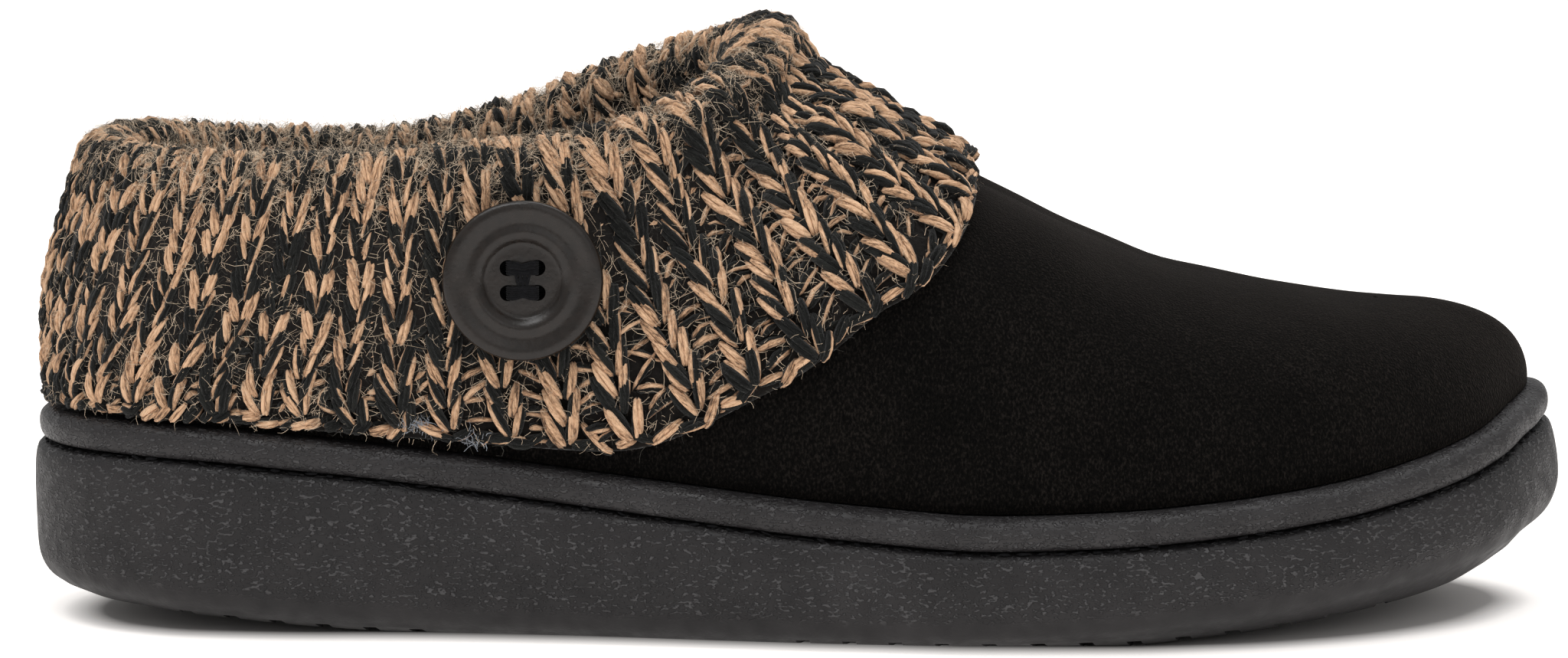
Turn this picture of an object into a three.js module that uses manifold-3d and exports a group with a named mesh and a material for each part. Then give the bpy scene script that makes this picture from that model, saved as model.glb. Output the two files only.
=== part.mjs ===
// House clog for the right foot: suede upper, turned-down knitted collar with a sewn button,
// wrapped midsole and a moulded wedge outsole. Millimetres; +X to the toe, +Y to the inner side
// of the foot, +Z up, and the tread at z = 0.
import * as THREE from "three";
import { mergeVertices } from "three/addons/utils/BufferGeometryUtils.js";
import Module from "manifold-3d";

const wasm = await Module();
wasm.setup();

// Driving dimensions.
const soleLength = 266;
const ballWidth = 98;
const heelWidth = 70;
const heelStack = 30.5; // outsole thickness at the heel
const ballStack = 17.1; // outsole thickness under the ball
const toeStack = 33; // height of the outsole's top edge at the toe tip
const heelBevel = 5.2; // lift of the bottom edge at the back of the heel
const toeSpring = 14.5; // lift of the bottom edge at the toe tip
const treadSpring = 8; // lift of the tread field at the toe tip
const heelRock = 3.6; // lift of the tread field at the back of the heel
const edgeLift = 0.8; // lift of the bottom edge where the tread stands on the floor
const midsoleThickness = 6;
const upperWall = 2.2; // suede with its lining
const upperInset = 5.4; // from the outsole's side to the foot of the upper
const upperFlare = 0.26; // how much less than that at the toe tip
const insoleThickness = 3;
const insoleClearance = 0.9; // from the upper's inner face
const insoleBevel = 1.5; // rounding of its top edge
const seamHeight = 64; // top edge of the suede at the heel
const throatHeight = 91; // top edge of the suede at the throat
const ridgeHeight = 54.2; // top of the toe box, at the end of the ridge
const openingBack = 8.2; // suede edge at the heel, from the back of the sole
const openingFront = 131; // suede edge at the throat, from the back of the sole
const ridgeEnd = 233; // where the ridge meets the toe cap
const openingWidth = 58;
const collarHeight = 86; // top of the fold at the heel
const collarPeak = 103.6; // top of the fold at the throat
const collarBack = 12.6; // middle of the fold at the heel
const collarFront = 127.4; // middle of the fold at the throat
const collarWidth = 60; // between the middles of the fold on the two sides
const knitThickness = 4.7;
const hemTaper = 0.12; // share of the thickness lost towards the free edge
const heelRoll = 5.2; // radius of the fold at the heel and sides
const throatRoll = 8.2; // radius of the fold at the throat
const buttonDiameter = 27;
const buttonThickness = 4.2;
const buttonRim = 1.5; // thickness at the edge of the button
const buttonWell = 13.4; // diameter of the sunk middle
const wellDepth = 1.5;
const threadHole = 2.7;
const holePitchAlong = 5;
const holePitchUp = 4.2;
const threadWidth = 1.7;
const threadRise = 0.7; // how far the thread stands over the sunk middle
const heelTreadStart = 26; // first tread groove under the heel, from the back of the sole
const foreTreadStart = 134; // first tread groove under the forefoot
const treadPitch = 8;
const treadGroove = 2.4;
const treadDepth = 1.6;
const treadZigzag = 5; // how far each tread groove steps forward and back
const axisSwing = 5; // how far the ridge leans to the inner side at the toe
const buttonAlong = 85.9; // middle of the button, from the back of the sole
const buttonHeight = 62.2;
const gap = 0.3; // between pieces that touch

// How finely the forms are stepped.
const openingSteps = 20;
const forefootSteps = 18;
const wallSteps = 9;
const collarSteps = 27;
const legSteps = 6;

// The sole's outline and heights. along: share of soleLength from the heel. outer, inner: share of
// half the local width on each side of the foot. heel, toe: share of the wedge at each end.
// bevel, spring, tread, rock: shares of heelBevel, toeSpring, treadSpring and heelRock.
const soleRows = [
  {
    along: 0.0, outer: 0.0, inner: 0.0, heel: 1.0, toe: 0.0,
    bevel: 1.0, spring: 0.0, tread: 0.0, rock: 1.0,
  },
  {
    along: 0.013, outer: 0.43, inner: 0.43, heel: 1.01, toe: 0.0,
    bevel: 1.0, spring: 0.0, tread: 0.0, rock: 0.98,
  },
  {
    along: 0.05, outer: 0.757, inner: 0.743, heel: 1.02, toe: 0.0,
    bevel: 0.95, spring: 0.0, tread: 0.0, rock: 0.95,
  },
  {
    along: 0.106, outer: 0.943, inner: 0.929, heel: 0.99, toe: 0.0,
    bevel: 0.7, spring: 0.0, tread: 0.0, rock: 0.72,
  },
  {
    along: 0.19, outer: 1.0, inner: 0.986, heel: 0.85, toe: 0.0,
    bevel: 0.35, spring: 0.0, tread: 0.0, rock: 0.22,
  },
  {
    along: 0.24, outer: 0.989, inner: 0.96, heel: 0.74, toe: 0.0,
    bevel: 0.2, spring: 0.0, tread: 0.0, rock: 0.0,
  },
  {
    along: 0.3, outer: 0.968, inner: 0.914, heel: 0.6, toe: 0.0,
    bevel: 0.08, spring: 0.0, tread: 0.0, rock: 0.0,
  },
  {
    along: 0.415, outer: 0.935, inner: 0.829, heel: 0.33, toe: 0.0,
    bevel: 0.0, spring: 0.0, tread: 0.0, rock: 0.0,
  },
  {
    along: 0.53, outer: 0.94, inner: 0.835, heel: 0.1, toe: 0.0,
    bevel: 0.0, spring: 0.0, tread: 0.0, rock: 0.0,
  },
  {
    along: 0.62, outer: 0.98, inner: 0.918, heel: 0.0, toe: 0.0,
    bevel: 0.0, spring: 0.03, tread: 0.0, rock: 0.0,
  },
  {
    along: 0.7, outer: 0.99, inner: 0.99, heel: 0.0, toe: 0.045,
    bevel: 0.0, spring: 0.11, tread: 0.0, rock: 0.0,
  },
  {
    along: 0.775, outer: 0.939, inner: 1.01, heel: 0.0, toe: 0.14,
    bevel: 0.0, spring: 0.25, tread: 0.16, rock: 0.0,
  },
  {
    along: 0.85, outer: 0.806, inner: 0.963, heel: 0.0, toe: 0.28,
    bevel: 0.0, spring: 0.42, tread: 0.4, rock: 0.0,
  },
  {
    along: 0.91, outer: 0.612, inner: 0.847, heel: 0.0, toe: 0.46,
    bevel: 0.0, spring: 0.6, tread: 0.61, rock: 0.0,
  },
  {
    along: 0.955, outer: 0.378, inner: 0.694, heel: 0.0, toe: 0.66,
    bevel: 0.0, spring: 0.75, tread: 0.79, rock: 0.0,
  },
  {
    along: 0.985, outer: 0.102, inner: 0.5, heel: 0.0, toe: 0.88,
    bevel: 0.0, spring: 0.91, tread: 0.93, rock: 0.0,
  },
  {
    along: 1.0, outer: -0.184, inner: 0.184, heel: 0.0, toe: 1.0,
    bevel: 0.0, spring: 1.0, tread: 1.0, rock: 0.0,
  },
];

const throatFoot = 0.55; // where the wall under the throat stands, as a share of soleLength

// The edge of the opening, from the heel to the throat. turn: share of the way round one side.
// reach: share of the way from openingBack to openingFront. open: share of half of openingWidth.
// up: share of the way from seamHeight to throatHeight.
const openingRows = [
  { turn: 0.0, reach: 0.0, open: 0.0, up: 0.0 },
  { turn: 0.14, reach: 0.05, open: 0.6, up: 0.0 },
  { turn: 0.27, reach: 0.16, open: 0.9, up: 0.0 },
  { turn: 0.42, reach: 0.35, open: 1.0, up: 0.02 },
  { turn: 0.57, reach: 0.565, open: 0.99, up: 0.1 },
  { turn: 0.7, reach: 0.74, open: 0.9, up: 0.31 },
  { turn: 0.82, reach: 0.88, open: 0.7, up: 0.62 },
  { turn: 0.92, reach: 0.97, open: 0.36, up: 0.9 },
  { turn: 1.0, reach: 1.0, open: 0.0, up: 1.0 },
];

// The ridge of the upper, from the throat to the toe. foot: share of soleLength where the wall
// below it stands. reach: share of the way from openingFront to ridgeEnd. down: share of the way
// from throatHeight to ridgeHeight.
const ridgeRows = [
  { foot: 0.55, reach: 0.0, down: 0.0 },
  { foot: 0.6, reach: 0.13, down: 0.2 },
  { foot: 0.67, reach: 0.36, down: 0.505 },
  { foot: 0.75, reach: 0.62, down: 0.815 },
  { foot: 0.83, reach: 0.83, down: 0.948 },
  { foot: 0.9, reach: 0.96, down: 0.992 },
  { foot: 0.955, reach: 1.0, down: 1.0 },
  { foot: 1.0, reach: 1.0, down: 1.0 },
];

// How the upper's wall rises from the sole. foot: as above. tilt: slope in degrees at which it
// arrives at its top. rise, lay: how far it keeps its first and last direction, as shares of its
// span. swell: outward lean at its foot, as a share of its height.
const wallRows = [
  { foot: 0.0, tilt: 74, rise: 0.3, lay: 0.3, swell: 0.0 },
  { foot: 0.1, tilt: 80, rise: 0.3, lay: 0.3, swell: 0.02 },
  { foot: 0.19, tilt: 82, rise: 0.3, lay: 0.3, swell: 0.03 },
  { foot: 0.3, tilt: 76, rise: 0.32, lay: 0.3, swell: 0.05 },
  { foot: 0.4, tilt: 60, rise: 0.35, lay: 0.32, swell: 0.06 },
  { foot: 0.48, tilt: 30, rise: 0.38, lay: 0.38, swell: 0.07 },
  { foot: 0.55, tilt: 0, rise: 0.4, lay: 0.44, swell: 0.07 },
  { foot: 0.67, tilt: 0, rise: 0.43, lay: 0.46, swell: 0.06 },
  { foot: 0.83, tilt: 0, rise: 0.45, lay: 0.48, swell: 0.05 },
  { foot: 0.955, tilt: 0, rise: 0.42, lay: 0.41, swell: 0.03 },
  { foot: 1.0, tilt: 0, rise: 0.39, lay: 0.37, swell: 0.02 },
];

// The turned-down collar. turn: share of the way round one side, from heel to throat, in even
// steps of its free edge. edge: where it joins the suede, as a turn of the opening. reach, open:
// the fold's place along and across, as shares of its own length and width. outer, inner: how
// far the fold has risen from collarHeight to collarPeak on each side of the foot. roll: from
// heelRoll to throatRoll. puff: extra thickness below the fold, as a share of knitThickness.
// hemFoot, hemWall: where the free edge lies on the upper, as shares of soleLength and height.
const collarRows = [
  {
    turn: 0.0, edge: 0.0, reach: 0.0, open: 0.0, outer: -0.08, inner: -0.08,
    roll: 0.0, puff: 0.25, hemFoot: 0.0, hemWall: 0.03,
  },
  {
    turn: 0.09, edge: 0.12, reach: 0.045, open: 0.6, outer: -0.09, inner: -0.11,
    roll: 0.0, puff: 0.2, hemFoot: 0.035, hemWall: 0.03,
  },
  {
    turn: 0.17, edge: 0.25, reach: 0.16, open: 0.93, outer: -0.12, inner: -0.2,
    roll: 0.0, puff: 0.1, hemFoot: 0.09, hemWall: 0.03,
  },
  {
    turn: 0.26, edge: 0.4, reach: 0.36, open: 1.0, outer: -0.13, inner: -0.25,
    roll: 0.0, puff: 0.0, hemFoot: 0.17, hemWall: 0.035,
  },
  {
    turn: 0.39, edge: 0.55, reach: 0.58, open: 1.0, outer: -0.02, inner: 0.0,
    roll: 0.0, puff: 0.0, hemFoot: 0.275, hemWall: 0.055,
  },
  {
    turn: 0.51, edge: 0.68, reach: 0.76, open: 0.93, outer: 0.12, inner: 0.46,
    roll: 0.05, puff: 0.0, hemFoot: 0.375, hemWall: 0.075,
  },
  {
    turn: 0.62, edge: 0.79, reach: 0.872, open: 0.8, outer: 0.38, inner: 0.7,
    roll: 0.25, puff: 0.05, hemFoot: 0.468, hemWall: 0.22,
  },
  {
    turn: 0.71, edge: 0.86, reach: 0.945, open: 0.64, outer: 0.68, inner: 0.85,
    roll: 0.5, puff: 0.1, hemFoot: 0.535, hemWall: 0.32,
  },
  {
    turn: 0.79, edge: 0.905, reach: 0.982, open: 0.48, outer: 0.87, inner: 0.94,
    roll: 0.75, puff: 0.15, hemFoot: 0.582, hemWall: 0.42,
  },
  {
    turn: 0.855, edge: 0.943, reach: 0.994, open: 0.33, outer: 0.95, inner: 0.98,
    roll: 0.9, puff: 0.2, hemFoot: 0.617, hemWall: 0.58,
  },
  {
    turn: 0.93, edge: 0.976, reach: 0.999, open: 0.16, outer: 0.99, inner: 1.0,
    roll: 1.0, puff: 0.25, hemFoot: 0.64, hemWall: 0.8,
  },
  {
    turn: 1.0, edge: 1.0, reach: 1.0, open: 0.0, outer: 1.0, inner: 1.0,
    roll: 1.0, puff: 0.25, hemFoot: 0.649, hemWall: 1.0,
  },
];

// Rings of the outsole's side, from its top edge to the tread. inset: from the widest outline.
// level: height in the sole's side, 1 at its top edge and 0 at its bottom edge. drop: moved
// down from there. flare: share of the toe's outward flare that this ring leaves out.
const outsoleRings = [
  { inset: 2.6, level: 1, drop: 0, flare: 1 },
  { inset: 0.7, level: 1, drop: 0.7, flare: 1 },
  { inset: 0.1, level: 1, drop: 2.4, flare: 0.8 },
  { inset: 0, level: 0.45, drop: 0, flare: 0 },
  { inset: 0.5, level: 0, drop: -4.6, flare: 0 },
  { inset: 1.8, level: 0, drop: -2, flare: 0 },
  { inset: 4.2, level: 0, drop: -0.2, flare: 0 },
];
const toeFlare = 1.3;
const bevelInset = 8;
const bevelLevel = 0.4; // share of the bottom edge's lift left at bevelInset
const treadInset = 11.5;

// Rings of the wrapped midsole's side, from its underside up. level: share of its thickness.
const midsoleRings = [
  { inset: 3.2, level: 0, flare: 1 },
  { inset: 1.3, level: 0.12, flare: 1 },
  { inset: 0.8, level: 0.45, flare: 1 },
  { inset: 1.2, level: 0.78, flare: 1 },
  { inset: 2.7, level: 0.97, flare: 1 },
  { inset: 5, level: 1, flare: 1 },
];

const lerp = (a, b, share) => a + (b - a) * share;
const radians = (degrees) => (degrees * Math.PI) / 180;

// A share of the length as a place on the half outline: even steps here crowd at both ends.
const placeOf = (along) => Math.acos(1 - 2 * along) / Math.PI;
const alongOf = (place) => (1 - Math.cos(Math.PI * place)) / 2;

// A smooth curve through knots that never overshoots them.
function smoothCurve(knots) {
  const slopes = knots.map((knot, i) => {
    const before = knots[Math.max(i - 1, 0)];
    const after = knots[Math.min(i + 1, knots.length - 1)];
    if (knot === before || knot === after) {
      return (after.value - before.value) / (after.at - before.at);
    }
    const spanIn = knot.at - before.at;
    const spanOut = after.at - knot.at;
    const slopeIn = (knot.value - before.value) / spanIn;
    const slopeOut = (after.value - knot.value) / spanOut;
    if (slopeIn * slopeOut <= 0) return 0;
    const [weightIn, weightOut] = [spanIn + 2 * spanOut, 2 * spanIn + spanOut];
    return (weightIn + weightOut) / (weightIn / slopeIn + weightOut / slopeOut);
  });
  return (at) => {
    let i = 0;
    while (i < knots.length - 2 && at > knots[i + 1].at) i += 1;
    const [a, b] = [knots[i], knots[i + 1]];
    const span = b.at - a.at;
    const t = THREE.MathUtils.clamp((at - a.at) / span, 0, 1);
    const [t2, t3] = [t * t, t * t * t];
    return (
      a.value * (2 * t3 - 3 * t2 + 1) +
      b.value * (3 * t2 - 2 * t3) +
      span * (slopes[i] * (t3 - 2 * t2 + t) + slopes[i + 1] * (t3 - t2))
    );
  };
}

// Once round the shoe: lap 0 is the heel, 1 the toe tip by the outer side, 2 the heel again.
const placeOfLap = (lap) => (lap <= 1 ? lap : 2 - lap);
const sideOfLap = (lap) => (lap <= 1 ? -1 : 1);

// A table column as a function of the lap, with its own column for each side of the foot.
function roundColumn(rows, outer, inner = outer, sign = 1) {
  const turns = [-2, 0, 2];
  const knots = turns.flatMap((turn) => [
    ...rows.map((row) => ({ at: turn + placeOf(row.along), value: sign * row[outer] })),
    ...rows
      .slice(1, -1)
      .reverse()
      .map((row) => ({ at: turn + 2 - placeOf(row.along), value: row[inner] })),
  ]);
  return smoothCurve(knots);
}

const halfSpread = roundColumn(soleRows, "outer", "inner", -1);
const heelShare = roundColumn(soleRows, "heel");
const toeShare = roundColumn(soleRows, "toe");
const bevelShare = roundColumn(soleRows, "bevel");
const springShare = roundColumn(soleRows, "spring");
const treadShare = roundColumn(soleRows, "tread");
const rockShare = roundColumn(soleRows, "rock");

const halfWidthAt = (along) =>
  lerp(heelWidth, ballWidth, THREE.MathUtils.smoothstep(along, 0.2, 0.6)) / 2;
const outsoleTop = (lap) =>
  ballStack + heelShare(lap) * (heelStack - ballStack) + toeShare(lap) * (toeStack - ballStack);
const outsoleEdge = (lap) => edgeLift + bevelShare(lap) * heelBevel + springShare(lap) * toeSpring;
const treadLevel = (lap) => treadShare(lap) * treadSpring + rockShare(lap) * heelRock;
const midsoleTop = (lap) => outsoleTop(lap) + midsoleThickness;

// The sole's widest outline at a lap, moved inward by inset.
function outline(lap, inset = 0) {
  const wrap = (value) => ((value % 2) + 2) % 2;
  const point = (value) => {
    const along = alongOf(placeOfLap(wrap(value)));
    return new THREE.Vector2(soleLength * along, halfSpread(wrap(value)) * halfWidthAt(along));
  };
  const step = 0.004;
  const along = point(lap + step).sub(point(lap - step)).normalize();
  return point(lap).add(new THREE.Vector2(-along.y, along.x).multiplyScalar(inset));
}

// Stations round the shoe: one at the heel, one at the toe tip and the same ones on both sides.
const throatPlace = placeOf(throatFoot);
const sidePlaces = [
  ...Array.from({ length: openingSteps }, (_, i) => (throatPlace * i) / openingSteps),
  ...Array.from({ length: forefootSteps + 1 }, (_, i) => lerp(throatPlace, 1, i / forefootSteps)),
];
const lastPlace = sidePlaces.length - 1;
const laps = [
  ...sidePlaces,
  ...sidePlaces.slice(1, -1).reverse().map((place) => 2 - place),
];

// Triangles gathered by corner, with corners at one place shared.
class Surface {
  constructor() {
    this.points = [];
    this.triangles = [];
    this.known = new Map();
  }
  corner(point) {
    const key = [point.x, point.y, point.z].map((value) => Math.round(value * 1e4)).join();
    if (!this.known.has(key)) {
      this.known.set(key, this.points.length);
      this.points.push(point.clone());
    }
    return this.known.get(key);
  }
  triangle(a, b, c) {
    const [i, j, k] = [a, b, c].map((point) => this.corner(point));
    if (i !== j && j !== k && k !== i) this.triangles.push([i, j, k]);
  }
  quad(a, b, c, d) {
    this.triangle(a, b, c);
    this.triangle(a, c, d);
  }
  geometry() {
    const made = new THREE.BufferGeometry();
    const values = this.points.flatMap((point) => point.toArray());
    made.setAttribute("position", new THREE.Float32BufferAttribute(values, 3));
    made.setIndex(this.triangles.flat());
    return made;
  }
}

// A solid from closed rings that share the shoe's stations, closed across at both ends.
function ringSolid(rings) {
  const surface = new Surface();
  const count = laps.length;
  for (let r = 0; r + 1 < rings.length; r += 1) {
    for (let i = 0; i < count; i += 1) {
      const next = (i + 1) % count;
      surface.quad(rings[r][i], rings[r][next], rings[r + 1][next], rings[r + 1][i]);
    }
  }
  const cap = (ring, flip) => {
    for (let i = 0; i < lastPlace; i += 1) {
      const [a, b] = [ring[i], ring[i + 1]];
      const [c, d] = [ring[(count - i - 1) % count], ring[(count - i) % count]];
      if (flip) surface.quad(d, c, b, a);
      else surface.quad(a, b, c, d);
    }
  };
  cap(rings[0], true);
  cap(rings[rings.length - 1], false);
  return surface.geometry();
}

function ringAt(inset, height) {
  return laps.map((lap) => {
    const place = outline(lap, typeof inset === "function" ? inset(lap) : inset);
    return new THREE.Vector3(place.x, place.y, height(lap));
  });
}

function toSolid(geometry) {
  const bare = new THREE.BufferGeometry();
  bare.setAttribute("position", geometry.getAttribute("position").clone());
  if (geometry.index) bare.setIndex(geometry.index.clone());
  const merged = mergeVertices(bare, 1e-4);
  return new wasm.Manifold(
    new wasm.Mesh({
      numProp: 3,
      vertProperties: new Float32Array(merged.attributes.position.array),
      triVerts: new Uint32Array(merged.index.array),
    }),
  );
}

// A closed form as a solid whose faces look outward.
function outwards(geometry) {
  const solid = toSolid(geometry);
  if (solid.volume() > 0) return solid;
  const index = geometry.index.array;
  const turned = geometry.clone();
  turned.setIndex(Array.from(index, (_, n) => index[n - (n % 3) + (2 - (n % 3))]));
  return toSolid(turned);
}

function toGeometry(solid) {
  const mesh = solid.getMesh();
  const made = new THREE.BufferGeometry();
  made.setAttribute("position", new THREE.BufferAttribute(mesh.vertProperties, 3));
  made.setIndex(new THREE.BufferAttribute(mesh.triVerts, 1));
  return made;
}

// One tread groove: a bar across the sole that steps forward and back.
function treadCutter() {
  const half = ballWidth / 2;
  const knees = [-1, -0.5, 0, 0.5, 1];
  const edge = (side) =>
    knees.map((knee, i) => [
      (i % 2 ? treadZigzag : -treadZigzag) / 2 + (side * treadGroove) / 2,
      knee * half,
    ]);
  const shape = new THREE.Shape(
    [...edge(1), ...edge(-1).reverse()].map(([x, y]) => new THREE.Vector2(x, y)),
  );
  const bar = new THREE.ExtrudeGeometry(shape, { depth: 2 * treadDepth, bevelEnabled: false });
  return bar.translate(0, 0, -treadDepth);
}

// Grooves across the heel and the forefoot, each square to the tread where it lies.
const heelTreadCount = 6;
const foreTreadCount = 13;

function makeOutsole() {
  const sides = outsoleRings.map((ring) =>
    ringAt(
      (lap) => ring.inset + ring.flare * toeFlare * toeShare(lap),
      (lap) => lerp(outsoleEdge(lap), outsoleTop(lap), ring.level) - ring.drop,
    ),
  );
  const bevel = ringAt(bevelInset, (lap) =>
    lerp(treadLevel(lap), outsoleEdge(lap), bevelLevel),
  );
  const tread = ringAt(treadInset, treadLevel);
  let body = outwards(ringSolid([...sides, bevel, tread].reverse()));
  const starts = [
    ...Array.from({ length: heelTreadCount }, (_, i) => heelTreadStart + i * treadPitch),
    ...Array.from({ length: foreTreadCount }, (_, i) => foreTreadStart + i * treadPitch),
  ];
  const levelAt = (x) => treadLevel(placeOf(THREE.MathUtils.clamp(x / soleLength, 0, 1)));
  for (const x of starts) {
    const slope = Math.atan2(levelAt(x + treadGroove) - levelAt(x - treadGroove), 2 * treadGroove);
    const cutter = treadCutter().rotateY(-slope).translate(x, 0, levelAt(x));
    body = body.subtract(toSolid(cutter));
  }
  return toGeometry(body);
}

function makeMidsole() {
  const rings = midsoleRings.map((ring) =>
    ringAt(
      (lap) => ring.inset + ring.flare * toeFlare * toeShare(lap),
      (lap) => lerp(outsoleTop(lap) + gap, midsoleTop(lap), ring.level),
    ),
  );
  return ringSolid(rings);
}

// A column of a table that covers half a turn, going on as its mirror image at both ends. A
// width changes its sign there.
function halfColumn(rows, at, column, sign = 1) {
  const knots = rows.map((row) => ({ at: at(row), value: row[column] }));
  const mirror = (about) =>
    knots
      .filter((knot) => knot.at !== about)
      .map((knot) => ({ at: 2 * about - knot.at, value: sign * knot.value }))
      .reverse();
  return smoothCurve([
    ...mirror(knots[0].at),
    ...knots,
    ...mirror(knots[knots.length - 1].at),
  ]);
}

const byTurn = (row) => row.turn;
const byFoot = (row) => placeOf(row.foot);
const openingReach = halfColumn(openingRows, byTurn, "reach");
const openingSpread = halfColumn(openingRows, byTurn, "open", -1);
const openingUp = halfColumn(openingRows, byTurn, "up");
const ridgeKnots = (column) =>
  smoothCurve(ridgeRows.map((row) => ({ at: byFoot(row), value: row[column] })));
const ridgeReach = ridgeKnots("reach");
const ridgeDown = ridgeKnots("down");
const wallTilt = halfColumn(wallRows, byFoot, "tilt");
const wallRise = halfColumn(wallRows, byFoot, "rise");
const wallLay = halfColumn(wallRows, byFoot, "lay");
const wallSwell = halfColumn(wallRows, byFoot, "swell");
const axisAt = (x) => axisSwing * THREE.MathUtils.smoothstep(x, openingFront / 2, ridgeEnd);

// The top of the wall: the edge of the opening, then the ridge.
function crownPoint(side, place) {
  const turn = place / throatPlace;
  if (turn < 1) {
    const x = lerp(openingBack, openingFront, openingReach(turn));
    const half = (openingSpread(turn) * openingWidth) / 2;
    const z = lerp(seamHeight, throatHeight, openingUp(turn));
    return new THREE.Vector3(x, axisAt(x) + side * half, z);
  }
  const x = lerp(openingFront, ridgeEnd, ridgeReach(place));
  return new THREE.Vector3(x, axisAt(x), lerp(throatHeight, ridgeHeight, ridgeDown(place)));
}

// The upper's outer face, as a curve from its foot on the sole to its top.
function wallPoint(side, place, share) {
  const lap = side < 0 ? place : 2 - place;
  const foot = outline(lap, upperInset + upperFlare * toeShare(lap));
  const start = new THREE.Vector3(foot.x, foot.y, midsoleTop(lap) + gap);
  const end = crownPoint(side, place);
  const middle = THREE.MathUtils.clamp(end.x, heelWidth / 2, ridgeEnd);
  const inward = new THREE.Vector3(middle - start.x, axisAt(middle) - start.y, 0).normalize();
  const climb = end.z - start.z;
  const span = start.distanceTo(end);
  const tilt = radians(wallTilt(place));
  const leave = start
    .clone()
    .addScaledVector(inward, -wallSwell(place) * climb)
    .add(new THREE.Vector3(0, 0, wallRise(place) * span));
  const arrive = end
    .clone()
    .addScaledVector(inward, -Math.cos(tilt) * wallLay(place) * span)
    .add(new THREE.Vector3(0, 0, -Math.sin(tilt) * wallLay(place) * span));
  return new THREE.CubicBezierCurve3(start, leave, arrive, end).getPoint(share);
}

// The wall's outward direction. On the ridge the two sides are averaged.
function wallNormal(side, place, share) {
  const step = 0.004;
  const low = Math.max(place - step, 0);
  const across = wallPoint(side, place, Math.min(share, 1))
    .sub(wallPoint(side, place, Math.min(share, 1) - step));
  const along = wallPoint(side, place + step, share).sub(wallPoint(side, low, share));
  if (place === 0) along.set(0, side, 0);
  const normal = along.cross(across).multiplyScalar(-side).normalize();
  if (share >= 1 && place >= throatPlace) normal.y = 0;
  return normal.normalize();
}

const footOf = (lap) => wallPoint(sideOfLap(lap), placeOfLap(lap), 0);

// The upper's wall, from outward past its outer face to inward under it. Its top edge grows
// with the outer face; its foot stays level, so that it stands flat on what is under it.
function upperShell(outward, inward) {
  const surface = new Surface();
  const rows = laps.map((lap) =>
    Array.from({ length: wallSteps + 1 }, (_, j) =>
      wallPoint(sideOfLap(lap), placeOfLap(lap), j / wallSteps),
    ),
  );
  for (let i = 0; i < laps.length; i += 1) {
    const [here, next] = [rows[i], rows[(i + 1) % laps.length]];
    for (let j = 0; j < wallSteps; j += 1) {
      surface.quad(here[j], next[j], next[j + 1], here[j + 1]);
    }
  }
  const normals = surface.points.map(() => new THREE.Vector3());
  const edges = new Map();
  for (const [i, j, k] of surface.triangles) {
    const [a, b, c] = [i, j, k].map((n) => surface.points[n]);
    const area = b.clone().sub(a).cross(c.clone().sub(a));
    for (const n of [i, j, k]) normals[n].add(area);
    for (const [from, to] of [[i, j], [j, k], [k, i]]) {
      const back = `${to},${from}`;
      if (edges.has(back)) edges.delete(back);
      else edges.set(`${from},${to}`, [from, to]);
    }
  }
  for (const normal of normals) normal.normalize();
  const feet = new Set(laps.map((lap) => surface.corner(footOf(lap))));
  const grown = surface.points.map((point) => point.clone());
  for (const [from, to] of edges.values()) {
    if (feet.has(from)) continue;
    const away = surface.points[to].clone().sub(surface.points[from]).cross(normals[from]);
    for (const n of [from, to]) grown[n].addScaledVector(away.normalize(), outward / 2);
  }
  const outer = grown.map((point, n) => point.clone().addScaledVector(normals[n], outward));
  const inner = grown.map((point, n) => point.clone().addScaledVector(normals[n], -inward));
  for (const n of feet) {
    outer[n].z = surface.points[n].z;
    inner[n].z = surface.points[n].z;
  }
  const offset = surface.points.length;
  const made = new THREE.BufferGeometry();
  const values = [...outer, ...inner].flatMap((point) => point.toArray());
  made.setAttribute("position", new THREE.Float32BufferAttribute(values, 3));
  const triangles = surface.triangles.flatMap(([i, j, k]) => [
    [i, j, k],
    [offset + i, offset + k, offset + j],
  ]);
  for (const [from, to] of edges.values()) {
    triangles.push([to, from, offset + from], [to, offset + from, offset + to]);
  }
  made.setIndex(triangles.flat());
  return made;
}

function makeInsole() {
  const inset = upperInset + upperWall + insoleClearance;
  const level = (height) => (lap) => midsoleTop(lap) + gap + height;
  return ringSolid([
    ringAt(inset, level(0)),
    ringAt(inset, level(insoleThickness - insoleBevel * 0.6)),
    ringAt(inset + insoleBevel, level(insoleThickness)),
  ]);
}

const collarEdge = halfColumn(collarRows, byTurn, "edge");
const foldReach = halfColumn(collarRows, byTurn, "reach");
const foldSpread = halfColumn(collarRows, byTurn, "open", -1);
const foldRise = {
  outer: halfColumn(collarRows, byTurn, "outer"),
  inner: halfColumn(collarRows, byTurn, "inner"),
};
const foldRoll = halfColumn(collarRows, byTurn, "roll");
const collarPuff = halfColumn(collarRows, byTurn, "puff");
const hemFoot = halfColumn(collarRows, byTurn, "hemFoot");
const hemWall = halfColumn(collarRows, byTurn, "hemWall");

function foldTop(side, turn) {
  const x = lerp(collarBack, collarFront, foldReach(turn));
  const y = axisAt(x) + (side * foldSpread(turn) * collarWidth) / 2;
  const rise = side < 0 ? foldRise.outer(turn) : foldRise.inner(turn);
  return new THREE.Vector3(x, y, lerp(collarHeight, collarPeak, rise));
}

// A point of the turned-down part, at a share of its way from the suede edge to the hem.
function legPoint(side, turn, share, lift) {
  const edge = throatPlace * Math.min(collarEdge(turn), 1);
  const place = lerp(edge, placeOf(hemFoot(turn)), share);
  const wall = lerp(1, hemWall(turn), share);
  return wallPoint(side, place, wall).addScaledVector(wallNormal(side, place, wall), lift);
}

function legOuter(side, turn, share) {
  const thickness = knitThickness * (1 + collarPuff(turn) * (1 - share) - hemTaper * share);
  return legPoint(side, turn, share, gap + thickness);
}

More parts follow.
